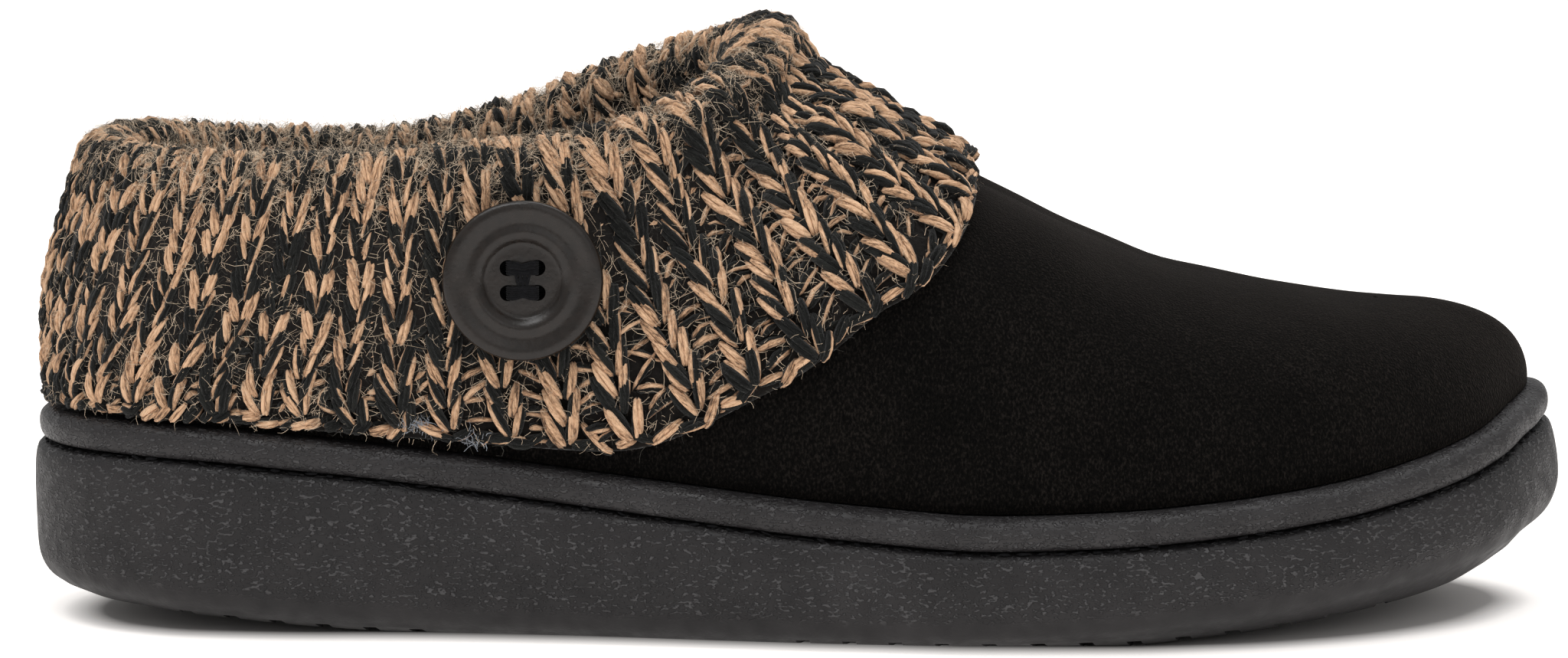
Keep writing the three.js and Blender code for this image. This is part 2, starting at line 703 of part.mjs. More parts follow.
// The collar's cross-section at a share of the turn from heel to throat, as a closed loop: up
// the inner face, over the fold, down the outer face to the hem and back up under it.
const rollAngles = [180, 135, 90, 45];
const legShares = [0.3, 0.47, 0.64, 0.81, 0.97];

function collarSection(side, turn) {
  const step = 0.01;
  const before = foldTop(side, turn - step);
  const tangent = foldTop(side, turn + step).sub(before).setZ(0).normalize();
  const outward = new THREE.Vector3(-side * tangent.y, side * tangent.x, 0);
  const roll = lerp(heelRoll, throatRoll, foldRoll(turn));
  const centre = foldTop(side, turn).sub(new THREE.Vector3(0, 0, roll));
  const onRoll = (degrees) =>
    centre
      .clone()
      .addScaledVector(outward, roll * Math.cos(radians(degrees)))
      .add(new THREE.Vector3(0, 0, roll * Math.sin(radians(degrees))));
  const outside = new THREE.CatmullRomCurve3(
    [
      legPoint(side, turn, 0, -0.85 * upperWall),
      ...rollAngles.map(onRoll),
      legOuter(side, turn, 0.14).lerp(onRoll(25), 0.5),
      ...legShares.map((share) => legOuter(side, turn, share)),
    ],
    false,
    "centripetal",
  ).getPoints(16);
  const hem = [
    legPoint(side, turn, 1, gap + knitThickness * 0.66),
    legPoint(side, turn, 1.01, gap + knitThickness * 0.3),
  ];
  const under = Array.from({ length: legSteps + 1 }, (_, i) =>
    legPoint(side, turn, 1 - i / legSteps, -upperWall / 2),
  );
  return [...outside, ...hem, ...under];
}

function makeCollar() {
  const turns = [
    ...Array.from({ length: collarSteps + 1 }, (_, i) => [-1, i / collarSteps]),
    ...Array.from({ length: collarSteps - 1 }, (_, i) => [1, 1 - (i + 1) / collarSteps]),
  ];
  const sections = turns.map(([side, turn]) => collarSection(side, turn));
  const surface = new Surface();
  const size = sections[0].length;
  for (let s = 0; s < sections.length; s += 1) {
    const next = sections[(s + 1) % sections.length];
    for (let i = 0; i < size; i += 1) {
      const j = (i + 1) % size;
      surface.quad(sections[s][i], next[i], next[j], sections[s][j]);
    }
  }
  return toGeometry(outwards(surface.geometry()).subtract(outwards(upperShell(gap, upperWall))));
}

// Where the button sits: rays from the outer side find the collar there. The back of the button
// clears the highest of them. seatShare: half of the width they span, as a share of its diameter.
const seatShare = 0.31;

function buttonSeat(collarMesh) {
  const reach = buttonDiameter * seatShare;
  const hit = (right, up) => {
    const from = new THREE.Vector3(buttonAlong + right, -ballWidth, buttonHeight + up);
    const ray = new THREE.Raycaster(from, new THREE.Vector3(0, 1, 0));
    return ray.intersectObject(collarMesh)[0].point;
  };
  const middle = hit(0, 0);
  const right = hit(reach, 0).sub(hit(-reach, 0)).normalize();
  const upward = hit(0, reach).sub(hit(0, -reach));
  const outward = right.clone().cross(upward).normalize();
  const around = [-1, -0.5, 0, 0.5, 1].flatMap((i) =>
    [-1, -0.5, 0, 0.5, 1].map((j) => hit(i * reach, j * reach).sub(middle).dot(outward)),
  );
  const point = middle.addScaledVector(outward, Math.max(...around) + gap);
  return { point, right, outward };
}

// Button and thread in their own frame: +Z out of the face, +X along the shoe, back at z = 0.
const holeCentres = [-1, 1].flatMap((i) =>
  [-1, 1].map((j) => [(i * holePitchAlong) / 2, (j * holePitchUp) / 2]),
);
const wellFloor = buttonThickness - wellDepth;

function makeButton() {
  const edge = buttonDiameter / 2;
  const well = buttonWell / 2;
  const profile = [
    [0, 0],
    [edge * 0.62, 0],
    [edge - 1.2, buttonThickness - buttonRim - 1.2],
    [edge - 0.2, buttonThickness - buttonRim],
    [edge, buttonThickness - buttonRim + 0.5],
    [edge - 0.4, buttonThickness - 0.7],
    [edge - 1.8, buttonThickness - 0.25],
    [well + 2.4, buttonThickness],
    [well + 1, buttonThickness - 0.2],
    [well, wellFloor + 0.25],
    [well - 0.7, wellFloor],
    [0, wellFloor],
  ].map(([radius, height]) => new THREE.Vector2(radius, height));
  let body = outwards(new THREE.LatheGeometry(profile, 40).rotateX(Math.PI / 2));
  const holeLength = 4 * buttonThickness;
  for (const [x, y] of holeCentres) {
    const hole = new THREE.CylinderGeometry(threadHole / 2, threadHole / 2, holeLength, 12);
    body = body.subtract(toSolid(hole.rotateX(Math.PI / 2).translate(x, y, 0)));
  }
  return toGeometry(body);
}

function makeThread() {
  const box = (width, height, depth, x, y, z) =>
    toSolid(new THREE.BoxGeometry(width, height, depth).translate(x, y, z));
  const top = wellFloor + threadRise;
  const barLevel = wellFloor + gap;
  const barDepth = top - barLevel;
  let body = box(threadWidth * 0.9, holePitchUp, barDepth, 0, 0, barLevel + barDepth / 2);
  for (const [x, y] of holeCentres) {
    const leg = new THREE.CylinderGeometry(threadWidth / 2, threadWidth / 2, top, 10);
    body = body.add(toSolid(leg.rotateX(Math.PI / 2).translate(x, y, top / 2)));
  }
  for (const row of [-1, 1]) {
    const length = holePitchAlong;
    const place = barLevel + barDepth / 2;
    body = body.add(box(length, threadWidth, barDepth, 0, (row * holePitchUp) / 2, place));
  }
  return toGeometry(body);
}

// Materials, one for each kind.
const material = (color, roughness, metalness = 0) =>
  new THREE.MeshStandardMaterial({ color, roughness, metalness });
const moulded = material(0x323132, 0.62);
const wrapped = material(0x2c2b2c, 0.58);
const suede = material(0x120f0d, 0.95);
const felt = material(0x55504a, 0.95);
const knit = material(0x6d5846, 0.95);
const plastic = material(0x2d2927, 0.5);
const thread = material(0x14110f, 0.85);

function piece(name, geometry, finish) {
  const shape = toGeometry(outwards(geometry));
  shape.computeVertexNormals();
  const mesh = new THREE.Mesh(shape, finish);
  mesh.name = name;
  return mesh;
}

const clog = new THREE.Group();
clog.name = "clog";
const collarMesh = piece("collar", makeCollar(), knit);
clog.add(
  piece("outsole", makeOutsole(), moulded),
  piece("midsole", makeMidsole(), wrapped),
  piece("upper", upperShell(0, upperWall), suede),
  piece("insole", makeInsole(), felt),
  collarMesh,
);

const seat = buttonSeat(collarMesh);
const fastening = new THREE.Group();
fastening.add(
  piece("button", makeButton(), plastic),
  piece("button_thread", makeThread(), thread),
);
const upright = seat.outward.clone().cross(seat.right);
fastening.quaternion.setFromRotationMatrix(
  new THREE.Matrix4().makeBasis(seat.right, upright, seat.outward),
);
fastening.position.copy(seat.point);
clog.add(fastening);

// The origin is under the middle of the whole shoe.
const spread = laps.map((lap) => outline(lap).y);
clog.position.set(-soleLength / 2, -(Math.min(...spread) + Math.max(...spread)) / 2, 0);

export default clog;
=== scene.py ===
import math

import bmesh
import bpy
import numpy as np
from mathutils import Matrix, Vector


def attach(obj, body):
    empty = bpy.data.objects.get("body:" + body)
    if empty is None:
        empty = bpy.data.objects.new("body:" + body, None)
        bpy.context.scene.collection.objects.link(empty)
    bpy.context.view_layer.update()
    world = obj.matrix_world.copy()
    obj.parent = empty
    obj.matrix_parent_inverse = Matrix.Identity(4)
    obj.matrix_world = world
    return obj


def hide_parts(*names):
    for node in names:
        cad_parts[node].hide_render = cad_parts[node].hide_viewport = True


# Looks of the right-foot house clog. Sizes are in millimetres from the back of the sole and are
# turned into the row frame, in metres, when a mesh is made.
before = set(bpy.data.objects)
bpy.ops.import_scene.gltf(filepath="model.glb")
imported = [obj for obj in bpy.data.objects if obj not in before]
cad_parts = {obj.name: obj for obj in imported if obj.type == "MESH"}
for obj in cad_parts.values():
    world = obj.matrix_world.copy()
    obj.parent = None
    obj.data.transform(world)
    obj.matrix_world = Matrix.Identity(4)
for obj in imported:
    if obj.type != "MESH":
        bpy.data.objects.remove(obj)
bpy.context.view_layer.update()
rng = np.random.default_rng(27)

MM = 0.001
SOLE_LENGTH = 266.0
BALL_WIDTH = 98.0
HEEL_WIDTH = 70.0
ORIGIN = np.array([SOLE_LENGTH / 2, 0.503, 0.0])

# The sole's heights at its waist, and what the heel and the toe add to them.
WAIST_TOP, HEEL_RISE, TOE_RISE = 17.1, 13.4, 15.9
WAIST_EDGE, BEVEL, TOE_SPRING = 0.8, 5.2, 14.5
TREAD_SPRING, TREAD_ROCK = 8.0, 3.6
MIDSOLE_HEIGHT = 6.0
TOE_FLARE = 1.3
WALL_INSET = 5.4
TOE_INSET = 0.26
TOE_SWING = 5.0

# The suede's opening and ridge, and the collar's fold above them.
OPENING_BACK, OPENING_FRONT, OPENING_HALF = 8.2, 131.0, 29.0
RIDGE_END = 233.0
BACK_HEIGHT, THROAT_HEIGHT, TOE_HEIGHT = 64.0, 91.0, 54.2
FOLD_BACK, FOLD_FRONT, FOLD_HALF = 12.6, 127.4, 30.0
FOLD_LOW, FOLD_PEAK = 86.0, 103.6
ROLL_BACK, ROLL_FRONT = 5.2, 8.2
KNIT = 4.7
WALL_THICKNESS = 2.2
GAP = 0.3
UP = np.array([0.0, 0.0, 1.0])
FINE = 12


# The forms of the shoe

def columns(names, rows):
    """Rows of numbers as one array for each named column."""
    return dict(zip(names.split(), np.array(rows, float).T))


def hermite(t, start, end, span, leave, arrive):
    """A cubic from start to end over a span, with its own slope at each end."""
    return (start * (2 * t**3 - 3 * t**2 + 1) + end * (3 * t**2 - 2 * t**3)
            + span * (leave * (t**3 - 2 * t**2 + t) + arrive * (t**3 - t**2)))


def curve(at, value):
    """A smooth curve through knots that never overshoots them."""
    at = np.array(at, float)
    value = np.array(value, float)
    span = np.diff(at)
    secant = np.diff(value) / span
    before, after = secant[:-1], secant[1:]
    rising = before * after > 0
    w_in = span[:-1] + 2 * span[1:]
    w_out = 2 * span[:-1] + span[1:]
    safe_in = np.where(rising, before, 1)
    safe_out = np.where(rising, after, 1)
    inner = np.where(rising, (w_in + w_out) / (w_in / safe_in + w_out / safe_out), 0)
    slope = np.concatenate([secant[:1], inner, secant[-1:]])

    def value_at(x):
        x = np.asarray(x, float)
        i = np.clip(np.searchsorted(at, x, side="right") - 1, 0, len(at) - 2)
        t = np.clip((x - at[i]) / span[i], 0, 1)
        return hermite(t, value[i], value[i + 1], span[i], slope[i], slope[i + 1])

    return value_at


def place_of(along):
    return np.arccos(1 - 2 * np.asarray(along, float)) / math.pi


def along_of(place):
    return (1 - np.cos(math.pi * np.asarray(place, float))) / 2


def lerp(a, b, share):
    return a + (b - a) * share


def smooth(x, low, high):
    t = np.clip((np.asarray(x, float) - low) / (high - low), 0, 1)
    return t * t * (3 - 2 * t)


def together(*values):
    return np.broadcast_arrays(*(np.asarray(v, float) for v in values))


def unit(v):
    return v / np.maximum(np.linalg.norm(v, axis=-1, keepdims=True), 1e-12)


SOLE = columns("along outer inner heel toe bevel spring tread rock", [
    (0, 0, 0, 1, 0, 1, 0, 0, 1),
    (0.013, 0.43, 0.43, 1.01, 0, 1, 0, 0, 0.98),
    (0.05, 0.757, 0.743, 1.02, 0, 0.95, 0, 0, 0.95),
    (0.106, 0.943, 0.929, 0.99, 0, 0.7, 0, 0, 0.72),
    (0.19, 1, 0.986, 0.85, 0, 0.35, 0, 0, 0.22),
    (0.24, 0.989, 0.96, 0.74, 0, 0.2, 0, 0, 0),
    (0.3, 0.968, 0.914, 0.6, 0, 0.08, 0, 0, 0),
    (0.415, 0.935, 0.829, 0.33, 0, 0, 0, 0, 0),
    (0.53, 0.94, 0.835, 0.1, 0, 0, 0, 0, 0),
    (0.62, 0.98, 0.918, 0, 0, 0, 0.03, 0, 0),
    (0.7, 0.99, 0.99, 0, 0.045, 0, 0.11, 0, 0),
    (0.775, 0.939, 1.01, 0, 0.14, 0, 0.25, 0.16, 0),
    (0.85, 0.806, 0.963, 0, 0.28, 0, 0.42, 0.4, 0),
    (0.91, 0.612, 0.847, 0, 0.46, 0, 0.6, 0.61, 0),
    (0.955, 0.378, 0.694, 0, 0.66, 0, 0.75, 0.79, 0),
    (0.985, 0.102, 0.5, 0, 0.88, 0, 0.91, 0.93, 0),
    (1, -0.184, 0.184, 0, 1, 0, 1, 1, 0),
])


def round_curve(outer, inner=None, sign=1):
    """A column as a function of the lap: 0 heel, 1 toe by the outer side, 2 heel again."""
    place = place_of(SOLE["along"])
    first = sign * SOLE[outer]
    second = SOLE[inner or outer]
    at, value = [], []
    for turn in (-2, 0, 2):
        at += list(turn + place) + list(turn + 2 - place[1:-1][::-1])
        value += list(first) + list(second[1:-1][::-1])
    return curve(at, value)


half_spread = round_curve("outer", "inner", -1)
heel_share, toe_share, bevel_share, spring_share, tread_share, rock_share = (
    round_curve(name) for name in ("heel", "toe", "bevel", "spring", "tread", "rock"))


def outsole_top(lap):
    return WAIST_TOP + heel_share(lap) * HEEL_RISE + toe_share(lap) * TOE_RISE


def outsole_edge(lap):
    return WAIST_EDGE + bevel_share(lap) * BEVEL + spring_share(lap) * TOE_SPRING


def tread_level(lap):
    return tread_share(lap) * TREAD_SPRING + rock_share(lap) * TREAD_ROCK


def midsole_top(lap):
    return outsole_top(lap) + MIDSOLE_HEIGHT


def outline(lap, inset=0.0):
    """The sole's widest outline, moved inward by inset."""
    def point(value):
        value = np.mod(value, 2)
        along = along_of(np.where(value <= 1, value, 2 - value))
        half = lerp(HEEL_WIDTH, BALL_WIDTH, smooth(along, 0.2, 0.6)) / 2
        return np.stack([SOLE_LENGTH * along, half_spread(value) * half], -1)

    lap = np.asarray(lap, float)
    tangent = unit(point(lap + 0.004) - point(lap - 0.004))
    inward = np.stack([-tangent[..., 1], tangent[..., 0]], -1)
    return point(lap) + inward * np.asarray(inset, float)[..., None]


OPENING = columns("turn reach open up", [
    (0, 0, 0, 0),
    (0.14, 0.05, 0.6, 0),
    (0.27, 0.16, 0.9, 0),
    (0.42, 0.35, 1, 0.02),
    (0.57, 0.565, 0.99, 0.1),
    (0.7, 0.74, 0.9, 0.31),
    (0.82, 0.88, 0.7, 0.62),
    (0.92, 0.97, 0.36, 0.9),
    (1, 1, 0, 1),
])
RIDGE = columns("foot reach down", [
    (0.55, 0, 0),
    (0.6, 0.13, 0.2),
    (0.67, 0.36, 0.505),
    (0.75, 0.62, 0.815),
    (0.83, 0.83, 0.948),
    (0.9, 0.96, 0.992),
    (0.955, 1, 1),
    (1, 1, 1),
])
WALL = columns("foot tilt rise lay swell", [
    (0, 74, 0.3, 0.3, 0),
    (0.1, 80, 0.3, 0.3, 0.02),
    (0.19, 82, 0.3, 0.3, 0.03),
    (0.3, 76, 0.32, 0.3, 0.05),
    (0.4, 60, 0.35, 0.32, 0.06),
    (0.48, 30, 0.38, 0.38, 0.07),
    (0.55, 0, 0.4, 0.44, 0.07),
    (0.67, 0, 0.43, 0.46, 0.06),
    (0.83, 0, 0.45, 0.48, 0.05),
    (0.955, 0, 0.42, 0.41, 0.03),
    (1, 0, 0.39, 0.37, 0.02),
])
COLLAR = columns("turn edge reach open outer inner roll puff hem_foot hem_wall", [
    (0, 0, 0, 0, -0.08, -0.08, 0, 0.25, 0, 0.03),
    (0.09, 0.12, 0.045, 0.6, -0.09, -0.11, 0, 0.2, 0.035, 0.03),
    (0.17, 0.25, 0.16, 0.93, -0.12, -0.2, 0, 0.1, 0.09, 0.03),
    (0.26, 0.4, 0.36, 1, -0.13, -0.25, 0, 0, 0.17, 0.035),
    (0.39, 0.55, 0.58, 1, -0.02, 0, 0, 0, 0.275, 0.055),
    (0.51, 0.68, 0.76, 0.93, 0.12, 0.46, 0.05, 0, 0.375, 0.075),
    (0.62, 0.79, 0.872, 0.8, 0.38, 0.7, 0.25, 0.05, 0.468, 0.22),
    (0.71, 0.86, 0.945, 0.64, 0.68, 0.85, 0.5, 0.1, 0.535, 0.32),
    (0.79, 0.905, 0.982, 0.48, 0.87, 0.94, 0.75, 0.15, 0.582, 0.42),
    (0.855, 0.943, 0.994, 0.33, 0.95, 0.98, 0.9, 0.2, 0.617, 0.58),
    (0.93, 0.976, 0.999, 0.16, 0.99, 1, 1, 0.25, 0.64, 0.8),
    (1, 1, 1, 0, 1, 1, 1, 0.25, 0.649, 1),
])
THROAT_PLACE = float(place_of(0.55))


def half_curve(at, value, sign=1):
    """A column over half a turn, going on as its mirror image at both ends."""
    knots = list(zip(at, value))
    low, high = knots[0][0], knots[-1][0]
    before = [(2 * low - a, sign * v) for a, v in knots[1:]][::-1]
    after = [(2 * high - a, sign * v) for a, v in knots[:-1]][::-1]
    return curve(*zip(*(before + knots + after)))


def half_curves(table, at):
    return {name: half_curve(at, table[name], -1 if name == "open" else 1) for name in table}


opening = half_curves(OPENING, OPENING["turn"])
ridge = {name: curve(place_of(RIDGE["foot"]), RIDGE[name]) for name in ("reach", "down")}
wall = half_curves(WALL, place_of(WALL["foot"]))
collar = half_curves(COLLAR, COLLAR["turn"])


def axis_at(x):
    return TOE_SWING * smooth(x, OPENING_FRONT / 2, RIDGE_END)


def crown_point(side, place):
    """The upper's top: the opening's edge, then the ridge from the throat to the toe."""
    turn = place / THROAT_PLACE
    open_turn = np.minimum(turn, 1)
    x1 = lerp(OPENING_BACK, OPENING_FRONT, opening["reach"](open_turn))
    y1 = axis_at(x1) + side * opening["open"](open_turn) * OPENING_HALF
    z1 = lerp(BACK_HEIGHT, THROAT_HEIGHT, opening["up"](open_turn))
    x2 = lerp(OPENING_FRONT, RIDGE_END, ridge["reach"](place))
    z2 = lerp(THROAT_HEIGHT, TOE_HEIGHT, ridge["down"](place))
    front = turn >= 1
    return np.stack([
        np.where(front, x2, x1),
        np.where(front, axis_at(x2), y1),
        np.where(front, z2, z1),
    ], -1)


def wall_point(side, place, share):
    """The upper's outer face, from its foot on the sole (0) to its top (1)."""
    side, place, share = together(side, place, share)
    lap = np.where(side < 0, place, 2 - place)
    foot = outline(lap, WALL_INSET + TOE_INSET * toe_share(lap))
    start = np.concatenate([foot, (midsole_top(lap) + GAP)[..., None]], -1)
    end = crown_point(side, place)
    middle = np.clip(end[..., 0], HEEL_WIDTH / 2, RIDGE_END)
    inward = unit(np.stack(
        [middle - start[..., 0], axis_at(middle) - start[..., 1], np.zeros_like(middle)], -1))
    climb = end[..., 2] - start[..., 2]
    span = np.linalg.norm(end - start, axis=-1)
    tilt = np.radians(wall["tilt"](place))
    leave = start - inward * (wall["swell"](place) * climb)[..., None] \
        + UP * (wall["rise"](place) * span)[..., None]
    lay = (wall["lay"](place) * span)[..., None]
    arrive = end - inward * np.cos(tilt)[..., None] * lay - UP * np.sin(tilt)[..., None] * lay
    t = share[..., None]
    s = 1 - t
    return s**3 * start + 3 * s * s * t * leave + 3 * s * t * t * arrive + t**3 * end


def wall_normal(side, place, share):
    side, place, share = together(side, place, share)
    step = 0.004
    top = np.minimum(share, 1)
    across = wall_point(side, place, top) - wall_point(side, place, top - step)
    along = wall_point(side, place + step, share) \
        - wall_point(side, np.maximum(place - step, 0), share)
    flat = np.stack([0 * side, side, 0 * side], -1)
    along = np.where((place <= 0)[..., None], flat, along)
    normal = unit(-side[..., None] * np.cross(along, across))
    on_ridge = (share >= 1) & (place >= THROAT_PLACE)
    normal[..., 1] = np.where(on_ridge, 0, normal[..., 1])
    return unit(normal)


def leg_point(side, turn, share, lift):
    """A point of the turned-down knit, from the suede edge (0) to the hem (1)."""
    edge = THROAT_PLACE * np.minimum(collar["edge"](turn), 1)
    place = lerp(edge, place_of(collar["hem_foot"](turn)), share)
    height = lerp(1.0, collar["hem_wall"](turn), share)
    return wall_point(side, place, height) \
        + wall_normal(side, place, height) * np.asarray(lift, float)[..., None]


def leg_outer(side, turn, share):
    thick = KNIT * (1 + collar["puff"](turn) * (1 - share) - 0.12 * share)
    return leg_point(side, turn, share, GAP + thick)


def fold_top(side, turn):
    """The top of the collar's fold, whose height differs between the two sides."""
    x = lerp(FOLD_BACK, FOLD_FRONT, collar["reach"](turn))
    y = axis_at(x) + side * collar["open"](turn) * FOLD_HALF
    rise = np.where(side < 0, collar["outer"](turn), collar["inner"](turn))
    return np.stack([x, y, lerp(FOLD_LOW, FOLD_PEAK, rise)], -1)


def gaps_of(points):
    return np.linalg.norm(np.diff(points, axis=-2), axis=-1)


def sums(steps):
    """The sums of the first steps: of none of them, of one, and so on to all."""
    return np.concatenate([0 * steps[..., :1], np.cumsum(steps, -1)], -1)


def through(points):
    """A smooth line through points along axis 1, in FINE steps between two of them, and the
    length along it at each of its own points."""
    step = np.diff(sums(np.sqrt(gaps_of(points))), axis=1)[..., None]
    secant = np.diff(points, axis=1) / step
    wide = (points[:, 2:] - points[:, :-2]) / (step[:, :-1] + step[:, 1:])
    slope = np.concatenate(
        [secant[:, :1], secant[:, :-1] - wide + secant[:, 1:], secant[:, -1:]], 1)
    fine = []
    for k in range(points.shape[1] - 1):
        for t in np.linspace(0, 1, FINE, endpoint=False):
            fine.append(hermite(
                t, points[:, k], points[:, k + 1], step[:, k], slope[:, k], slope[:, k + 1]))
    fine.append(points[:, -1])
    fine = np.stack(fine, 1)
    return fine, sums(gaps_of(fine))


def even(fine, length, marks):
    """Points of a fine line at the given lengths, one row of marks for each line."""
    out = np.empty(marks.shape + (3,))
    for i in range(len(fine)):
        for k in range(3):
            out[i, :, k] = np.interp(marks[i], length[i], fine[i, :, k])
    return out


def evened(points, count):
    """A smooth line through points along axis 1, as count points at even steps."""
    line, length = through(points)
    return even(line, length, length[:, -1:] * np.linspace(0, 1, count)[None])


# Meshes and materials

def put(thing, **settings):
    """Gives a thing its settings, by name."""
    for name, value in settings.items():
        setattr(thing, name, value)
    return thing


def add_object(name, data, **settings):
    obj = put(bpy.data.objects.new(name, data), **settings)
    bpy.context.scene.collection.objects.link(obj)
    return obj


def add_mesh(name, points, faces, materials, smooth_faces=True, index=None):
    """A mesh object from points in millimetres and faces, given as one array for each number of
    corners that they have."""
    faces = faces if isinstance(faces, list) else [faces]
    faces = [np.asarray(part, np.int32) for part in faces]
    points = (np.asarray(points, float).reshape(-1, 3) - ORIGIN) * MM
    corners = np.concatenate([part.ravel() for part in faces])
    totals = np.concatenate([np.full(len(part), part.shape[1], np.int32) for part in faces])
    mesh = bpy.data.meshes.new(name)
    mesh.vertices.add(len(points))
    mesh.vertices.foreach_set("co", points.astype(np.float32).ravel())
    mesh.loops.add(len(corners))
    mesh.loops.foreach_set("vertex_index", corners)
    mesh.polygons.add(len(totals))
    mesh.polygons.foreach_set("loop_start", np.cumsum(totals, dtype=np.int32) - totals)
    mesh.polygons.foreach_set("loop_total", totals)
    for material in materials:
        mesh.materials.append(material)
    if index is not None:
        mesh.polygons.foreach_set("material_index", np.asarray(index, np.int32))
    mesh.polygons.foreach_set("use_smooth", np.full(len(totals), smooth_faces))
    mesh.update(calc_edges=True)
    mesh.validate()
    return add_object(name, mesh)


def grid_faces(rows, across, closed_rows=False, closed_across=False, flip=False):
    """Quads over a grid of points numbered row by row."""
    r = np.arange(rows if closed_rows else rows - 1)
    a = np.arange(across if closed_across else across - 1)
    r, a = (v.ravel() for v in np.meshgrid(r, a, indexing="ij"))
    r2, a2 = (r + 1) % rows, (a + 1) % across
    quads = np.stack([r * across + a, r2 * across + a, r2 * across + a2, r * across + a2], -1)
    return quads[:, ::-1] if flip else quads


def repeated(faces, groups, size):
    """The same faces over groups of points that have one size."""
    starts = (np.arange(groups) * size)[:, None, None]
    return (faces[None] + starts).reshape(-1, faces.shape[1])


def cleaned(obj, weld=0.0, dissolve=0.0, fill=False):
    """Turns all faces of a closed mesh outward, after any welding and filling that it needs."""
    work = bmesh.new()
    work.from_mesh(obj.data)
    if weld:
        bmesh.ops.remove_doubles(work, verts=work.verts, dist=weld)
    if dissolve:
        bmesh.ops.dissolve_degenerate(work, dist=dissolve, edges=work.edges)
    if fill:
        bmesh.ops.holes_fill(work, edges=work.edges, sides=0)
    bmesh.ops.recalc_face_normals(work, faces=work.faces)
    work.to_mesh(obj.data)
    work.free()
    return obj


def cut_away(body, cutter, sharp):
    """Cuts one closed mesh out of another. Edges of more than sharp degrees stay crisp."""
    cut = body.modifiers.new("cut", "BOOLEAN")
    put(cut, operation="DIFFERENCE", object=cutter, solver="EXACT")
    bpy.context.view_layer.update()
    now = body.evaluated_get(bpy.context.evaluated_depsgraph_get())
    made = bpy.data.meshes.new_from_object(now)
    body.modifiers.clear()
    body.data = made
    bpy.data.objects.remove(cutter)
    made.set_sharp_from_angle(angle=math.radians(sharp))
    return made


def cutter_of(stacks):
    """One closed mesh from stacks of rings [n, levels, sides, 3], filled in at both ends."""
    n, levels, sides = stacks.shape[:3]
    faces = repeated(grid_faces(levels, sides, closed_across=True), n, levels * sides)
    return cleaned(add_mesh("cutter", stacks, faces, [], False), fill=True)


def draw(mesh, name, values):
    """Gives a mesh an attribute with one number or one vector for each point."""
    kind, key = ("FLOAT", "value") if values.ndim == 1 else ("FLOAT_VECTOR", "vector")
    layer = mesh.attributes.new(name, kind, "POINT")
    layer.data.foreach_set(key, values.astype(np.float32).ravel())


def ring_solid(name, rings, materials):
    """A solid from closed rings, bridged across at both ends from side to side."""
    rings = np.asarray(rings)
    levels, count = rings.shape[:2]
    quads = [grid_faces(levels, count, closed_across=True)]
    half = count // 2
    i = np.arange(half)
    for base in (0, (levels - 1) * count):
        quads.append(np.stack(
            [base + i, base + (i + 1), base + (count - i - 1) % count,
             base + (count - i) % count], -1))
    return cleaned(add_mesh(name, rings, np.concatenate(quads), materials), dissolve=1e-6)


def srgb(values):
    """A colour picked as 0 to 255 in sRGB, as linear light."""
    shares = [v / 255 for v in values]
    return tuple(v / 12.92 if v <= 0.04045 else ((v + 0.055) / 1.055) ** 2.4 for v in shares)


